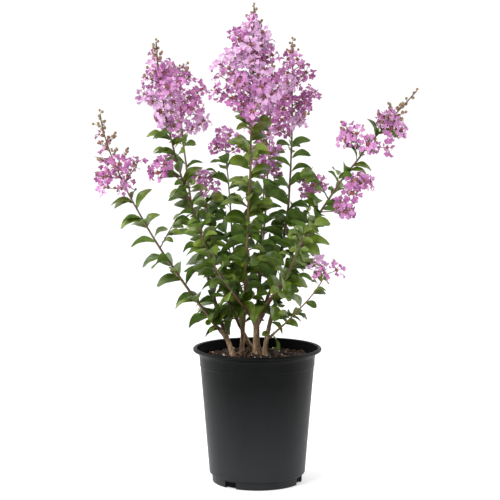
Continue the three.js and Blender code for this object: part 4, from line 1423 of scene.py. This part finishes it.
def soil_mix():
    """Dark crumbs with light fibres, painted black below 170 mm as the shade seen through the
    drain notches.
    """
    r = Recipe("potting_mix")
    lumps = r.noise(5, 8, 0.7)
    colour = r.mix(r.ramp(lumps, low=0.35), (16, 11, 8), (58, 42, 31))
    fibre = r.ramp(r.noise(3, 5, stretch=(1, 0.25, 1)), low=0.6, high=0.72)
    colour = r.mix(fibre, colour, (110, 86, 60))
    # Painted shade: black below 170 mm, where the soil shows only through the shadowed drain
    # notches.
    colour = r.mix(r.ramp(r.height(), 1.0, 0.0, 0.17, 0.2), colour, (6, 5, 4))
    return r.finish(colour, r.ramp(lumps, 0.98, 0.8), r.relief(lumps, 2.2),
                    Specular_IOR_Level=0.1)


def chip_wood(name, dark, light):
    r = Recipe(name)
    grain = r.noise(3.2, 6, 0.65, stretch=(1, 0.3, 1.4))
    colour = r.mix(r.ramp(grain, low=0.35, high=0.68), dark, light)
    return r.finish(colour, r.ramp(grain, 0.95, 0.7), r.relief(grain, 0.8, 0.9))


def perlite():
    r = Recipe("perlite_white")
    pores = r.cells(0.9)
    colour = r.mix(r.ramp(pores, low=0.0, high=0.6), (186, 176, 160), (238, 234, 226))
    return r.finish(colour, 0.9, r.relief(pores, 0.4, 0.8))


def old_bark():
    """Grey-tan bark that peels in long thin flakes off a redder skin, brown at the top."""
    r = Recipe("crape_myrtle_bark")
    flakes = r.ramp(r.noise(4.2, 5, 0.6, stretch=(1, 1, 0.2)), low=0.42, high=0.6)
    streaks = r.noise(1.6, 6, 0.7, stretch=(1, 1, 0.12))
    pale = r.mix(r.ramp(streaks), (150, 128, 98), (196, 175, 138))
    red = r.mix(r.ramp(streaks), (104, 72, 50), (146, 110, 80))
    colour = r.mix(flakes, red, pale)
    colour = r.mix(r.ramp(r.height(), 0.0, 0.8, 0.255, 0.31), colour, (96, 64, 46))
    cracks = r.ramp(r.cells(3.0, "DISTANCE_TO_EDGE", (1, 1, 0.1)), low=0.0, high=0.07)
    colour = r.mix(cracks, (86, 66, 46), colour)
    shape = r.relief(cracks, 0.3, 0.6, r.relief(flakes, 0.25, 0.7))
    return r.finish(colour, r.ramp(streaks, 0.9, 0.68), r.relief(streaks, 0.2, 0.7, shape))


def young_bark(name, dark, light):
    """Thin smooth bark of one or two seasons, streaked along the shoot, green in patches."""
    r = Recipe(name)
    streaks = r.noise(2.2, 5, 0.65, stretch=(1, 1, 0.12))
    patches = r.ramp(r.noise(22, 3), low=0.4, high=0.62)
    colour = r.mix(r.ramp(streaks), dark, light)
    colour = r.mix(r.math("MULTIPLY", patches, 0.35), colour, (104, 112, 62))
    return r.finish(colour, r.ramp(streaks, 0.6, 0.45), r.relief(streaks, 0.15, 0.6))


def leaf_top(name, deep, light):
    """A leaf's upper face: waxy, with side veins and a paler midrib."""
    r = Recipe(name)
    mottle = r.noise(17, 4, 0.6)
    colour = r.clouds(mottle, deep, light)
    axes = r.node("ShaderNodeSeparateXYZ", "X", {
        "Vector": r.node("ShaderNodeUVMap", uv_map="blade")})
    off = r.math("ABSOLUTE", r.math("SUBTRACT", axes, 0.5))
    along = axes.node.outputs["Y"]
    midrib = r.ramp(off, 1.0, 0.0, 0.02, 0.075)
    colour = r.mix(r.math("MULTIPLY", midrib, 0.3), colour, (120, 138, 66))
    slant = r.math("SUBTRACT", r.math("MULTIPLY", along, 52.0), r.math("MULTIPLY", off, 34.0))
    veins = r.math("SINE", slant)
    shape = r.relief(r.noise(2.4, 3), 0.25, 0.5, r.relief(veins, 0.14, 0.5))
    colour = r.mix(r.ramp(veins, 0.0, 0.18, 0.8, 1.0), colour, light)
    return r.finish(colour, r.ramp(mottle, 0.3, 0.44), shape, Specular_IOR_Level=0.5)


def leaf_under():
    """A leaf's lower face, paler and duller."""
    r = Recipe("leaf_underside")
    mottle = r.noise(14, 4, 0.6)
    return r.finish(r.clouds(mottle, (70, 98, 34), (98, 122, 52)), r.ramp(mottle, 0.62, 0.78),
                    r.relief(r.noise(2.2, 4), 0.3, 0.6), Specular_IOR_Level=0.2)


def petal_silk(name, deep, light):
    """Thin crinkled petals with a soft sheen, and a painted whitish highlight on the raised crests
    of their crinkles.
    """
    r = Recipe(name)
    crepe = r.noise(3.0, 4, 0.6, distortion=0.6)
    colour = r.clouds(r.noise(11, 3), deep, light)
    # Painted highlight: the raised crests of the crepe relief are mixed towards a near-white pink.
    colour = r.mix(r.ramp(crepe, 0.0, 0.42, 0.5, 0.72), colour, (244, 208, 236))
    return r.finish(colour, r.ramp(crepe, 0.55, 0.75), r.relief(crepe, 0.9, 0.8),
                    Sheen_Weight=0.25)


def plain_growth(name, size, dark, light):
    """Buds, calyces and anthers: two near colours in small clouds."""
    r = Recipe(name)
    clouds = r.noise(size, 4, 0.6)
    return r.finish(r.clouds(clouds, dark, light), r.ramp(clouds, 0.42, 0.6),
                    r.relief(clouds, 0.25, 0.6))


# ---- The whole plant ----

def nodes_ending(*endings):
    return [name for name in frame["nodes"] if name.endswith(endings)]


def grow_plant():
    for i, (name, sizes) in enumerate(PANICLES.items()):
        grow_panicle(name, sizes, i + SEEDS.panicles)
    for i, (name, sizes) in enumerate(SIDE_PANICLES.items()):
        grow_side_panicle(name, sizes, i + SEEDS.side_panicles)
    for i, name in enumerate(SHOOTS):
        if SHOOTS[name].leaves:
            grow_young_wood(name, grow_leaves(name, i + SEEDS.leaves))
    grow_single_leaves()
    grow_long_branches()


def make_wood_and_leaves():
    leaf_nodes = nodes_ending("_leaves")
    grow_bark().piece("bark_limbs", old_bark(), "bark", nodes_ending("trunk", "_bough"))
    for key, heap in young_wood.items():
        heap.piece(f"young_stems_{key}", young_bark(f"young_bark_{key}", *YOUNG_BARK[key]),
                   "bark", leaf_nodes + nodes_ending("_panicle"))
    undersides = Heap()
    for age, records in leaves.items():
        tops = Heap()
        grow_blades(records, tops, undersides)
        tops.piece(f"leaves_{age}", leaf_top(f"leaf_{age}", *GREENS[age]), "foliage", leaf_nodes)
    undersides.piece("leaf_undersides", leaf_under(), "foliage", leaf_nodes)


def make_blossom(dice):
    blossom = ("blossom", nodes_ending("_panicle"))
    for tint, records in flowers.items():
        silk = petal_silk(f"petal_{tint}", *SILKS[tint])
        grow_petals(records, dice).piece(f"petals_{tint}", silk, *blossom)
    everyone = [record for records in flowers.values() for record in records]
    calyx = plain_growth("calyx_red_brown", 5, (112, 60, 56), (148, 92, 78))
    grow_calyces(everyone, dice).piece("calyces", calyx, *blossom)
    gold = plain_growth("stamen_gold", 4, (198, 118, 92), (226, 160, 112))
    grow_stamens(everyone, dice).piece("stamens", gold, *blossom)
    for ripe, records in buds.items():
        skin = plain_growth(f"bud_{ripe}", 5, *BUD_SKINS[ripe])
        grow_buds(records, dice).piece(f"buds_{ripe}", skin, *blossom)


def make_soil_cover(dice):
    for name, (*shape, dark, light) in CHIPS.items():
        chips = scatter(dice, STREWN.lift, *shape)
        chips.piece(name, chip_wood(name, dark, light), "soil", ["soil"], smooth=False)
    specks = scatter(dice, STREWN.perlite_lift, *PERLITE)
    specks.piece("perlite_specks", perlite(), "soil", ["soil"], smooth=False)


# ---- Stage, light and camera ----

FOCAL_PIXELS = 1468.5
FRAME_PIXELS = 500
CAMERA = Values(place=(-0.013, -2.6, 0.6698), down=5.57)
FLOOR = Values(size=30, colours=((0.905, 0.905, 0.905, 1), (0.915, 0.915, 0.915, 1)), glow=0.28)
# Strength of the light from the viewer's side and from all that lies behind the plant.
WORLD_LIGHT = {"From Min": -1, "From Max": 0.0, "To Min": 0.18, "To Max": 1.05}
# Place, the point it is turned to, width and height in metres, and watts.
LIGHTS = {
    "key": ((-1.5, -1.7, 2.0), (0, 0, 0.5), (1.2, 1.2), 53),
    "side_left": ((-1.7, 0.35, 0.8), (0, 0, 0.35), (0.7, 1.5), 14),
    "side_right": ((1.7, 0.35, 0.8), (0, 0, 0.35), (0.7, 1.5), 12),
}


def set_floor():
    grid = bmesh.new()
    bmesh.ops.create_grid(grid, x_segments=1, y_segments=1, size=FLOOR.size)
    floor = linked("floor", mesh_of("floor", grid))
    r = Recipe("floor_white")
    clouds = r.noise(400, 2)
    floor.data.materials.append(r.finish(
        r.mix(clouds, *FLOOR.colours), 0.9, r.relief(clouds, 0.1, 0.05),
        Emission_Strength=FLOOR.glow, Emission_Color=(1, 1, 1, 1)))


def set_world():
    world = bpy.data.worlds.new("studio")
    bpy.context.scene.world = world
    world.use_nodes = True
    tree = world.node_tree
    towards, axes, shade = (tree.nodes.new(f"ShaderNode{kind}")
                            for kind in ("TexCoord", "SeparateXYZ", "MapRange"))
    for socket, value in WORLD_LIGHT.items():
        shade.inputs[socket].default_value = value
    shade.interpolation_type = "SMOOTHSTEP"
    background = tree.nodes["Background"]
    background.inputs["Color"].default_value = (1, 1, 1, 1)
    tree.links.new(towards.outputs["Generated"], axes.inputs["Vector"])
    tree.links.new(axes.outputs["Y"], shade.inputs["Value"])
    tree.links.new(shade.outputs["Result"], background.inputs["Strength"])


def set_lights():
    for name, (place, target, size, watts) in LIGHTS.items():
        data = bpy.data.lights.new(name, "AREA")
        data.shape = "RECTANGLE"
        data.size, data.size_y = size
        data.energy = watts
        lamp = linked(name, data)
        lamp.location = place
        aim = Vector(target) - Vector(place)
        lamp.rotation_euler = aim.to_track_quat("-Z", "Y").to_euler()


def set_camera():
    data = bpy.data.cameras.new("photo_camera")
    data.sensor_width = 36
    data.lens = FOCAL_PIXELS / FRAME_PIXELS * data.sensor_width
    camera = linked("photo_camera", data)
    camera.location = CAMERA.place
    camera.rotation_euler = (math.radians(90 - CAMERA.down), 0, 0)
    bpy.context.scene.camera = camera
    bpy.context.scene.view_settings.view_transform = "Standard"


grow_plant()
build_pot(pot_plastic(), pot_inside_shade())
build_soil(soil_mix())
make_wood_and_leaves()
piece_dice = np.random.default_rng(SEEDS.pieces)
make_blossom(piece_dice)
make_soil_cover(piece_dice)
set_floor()
set_world()
set_lights()
set_camera()
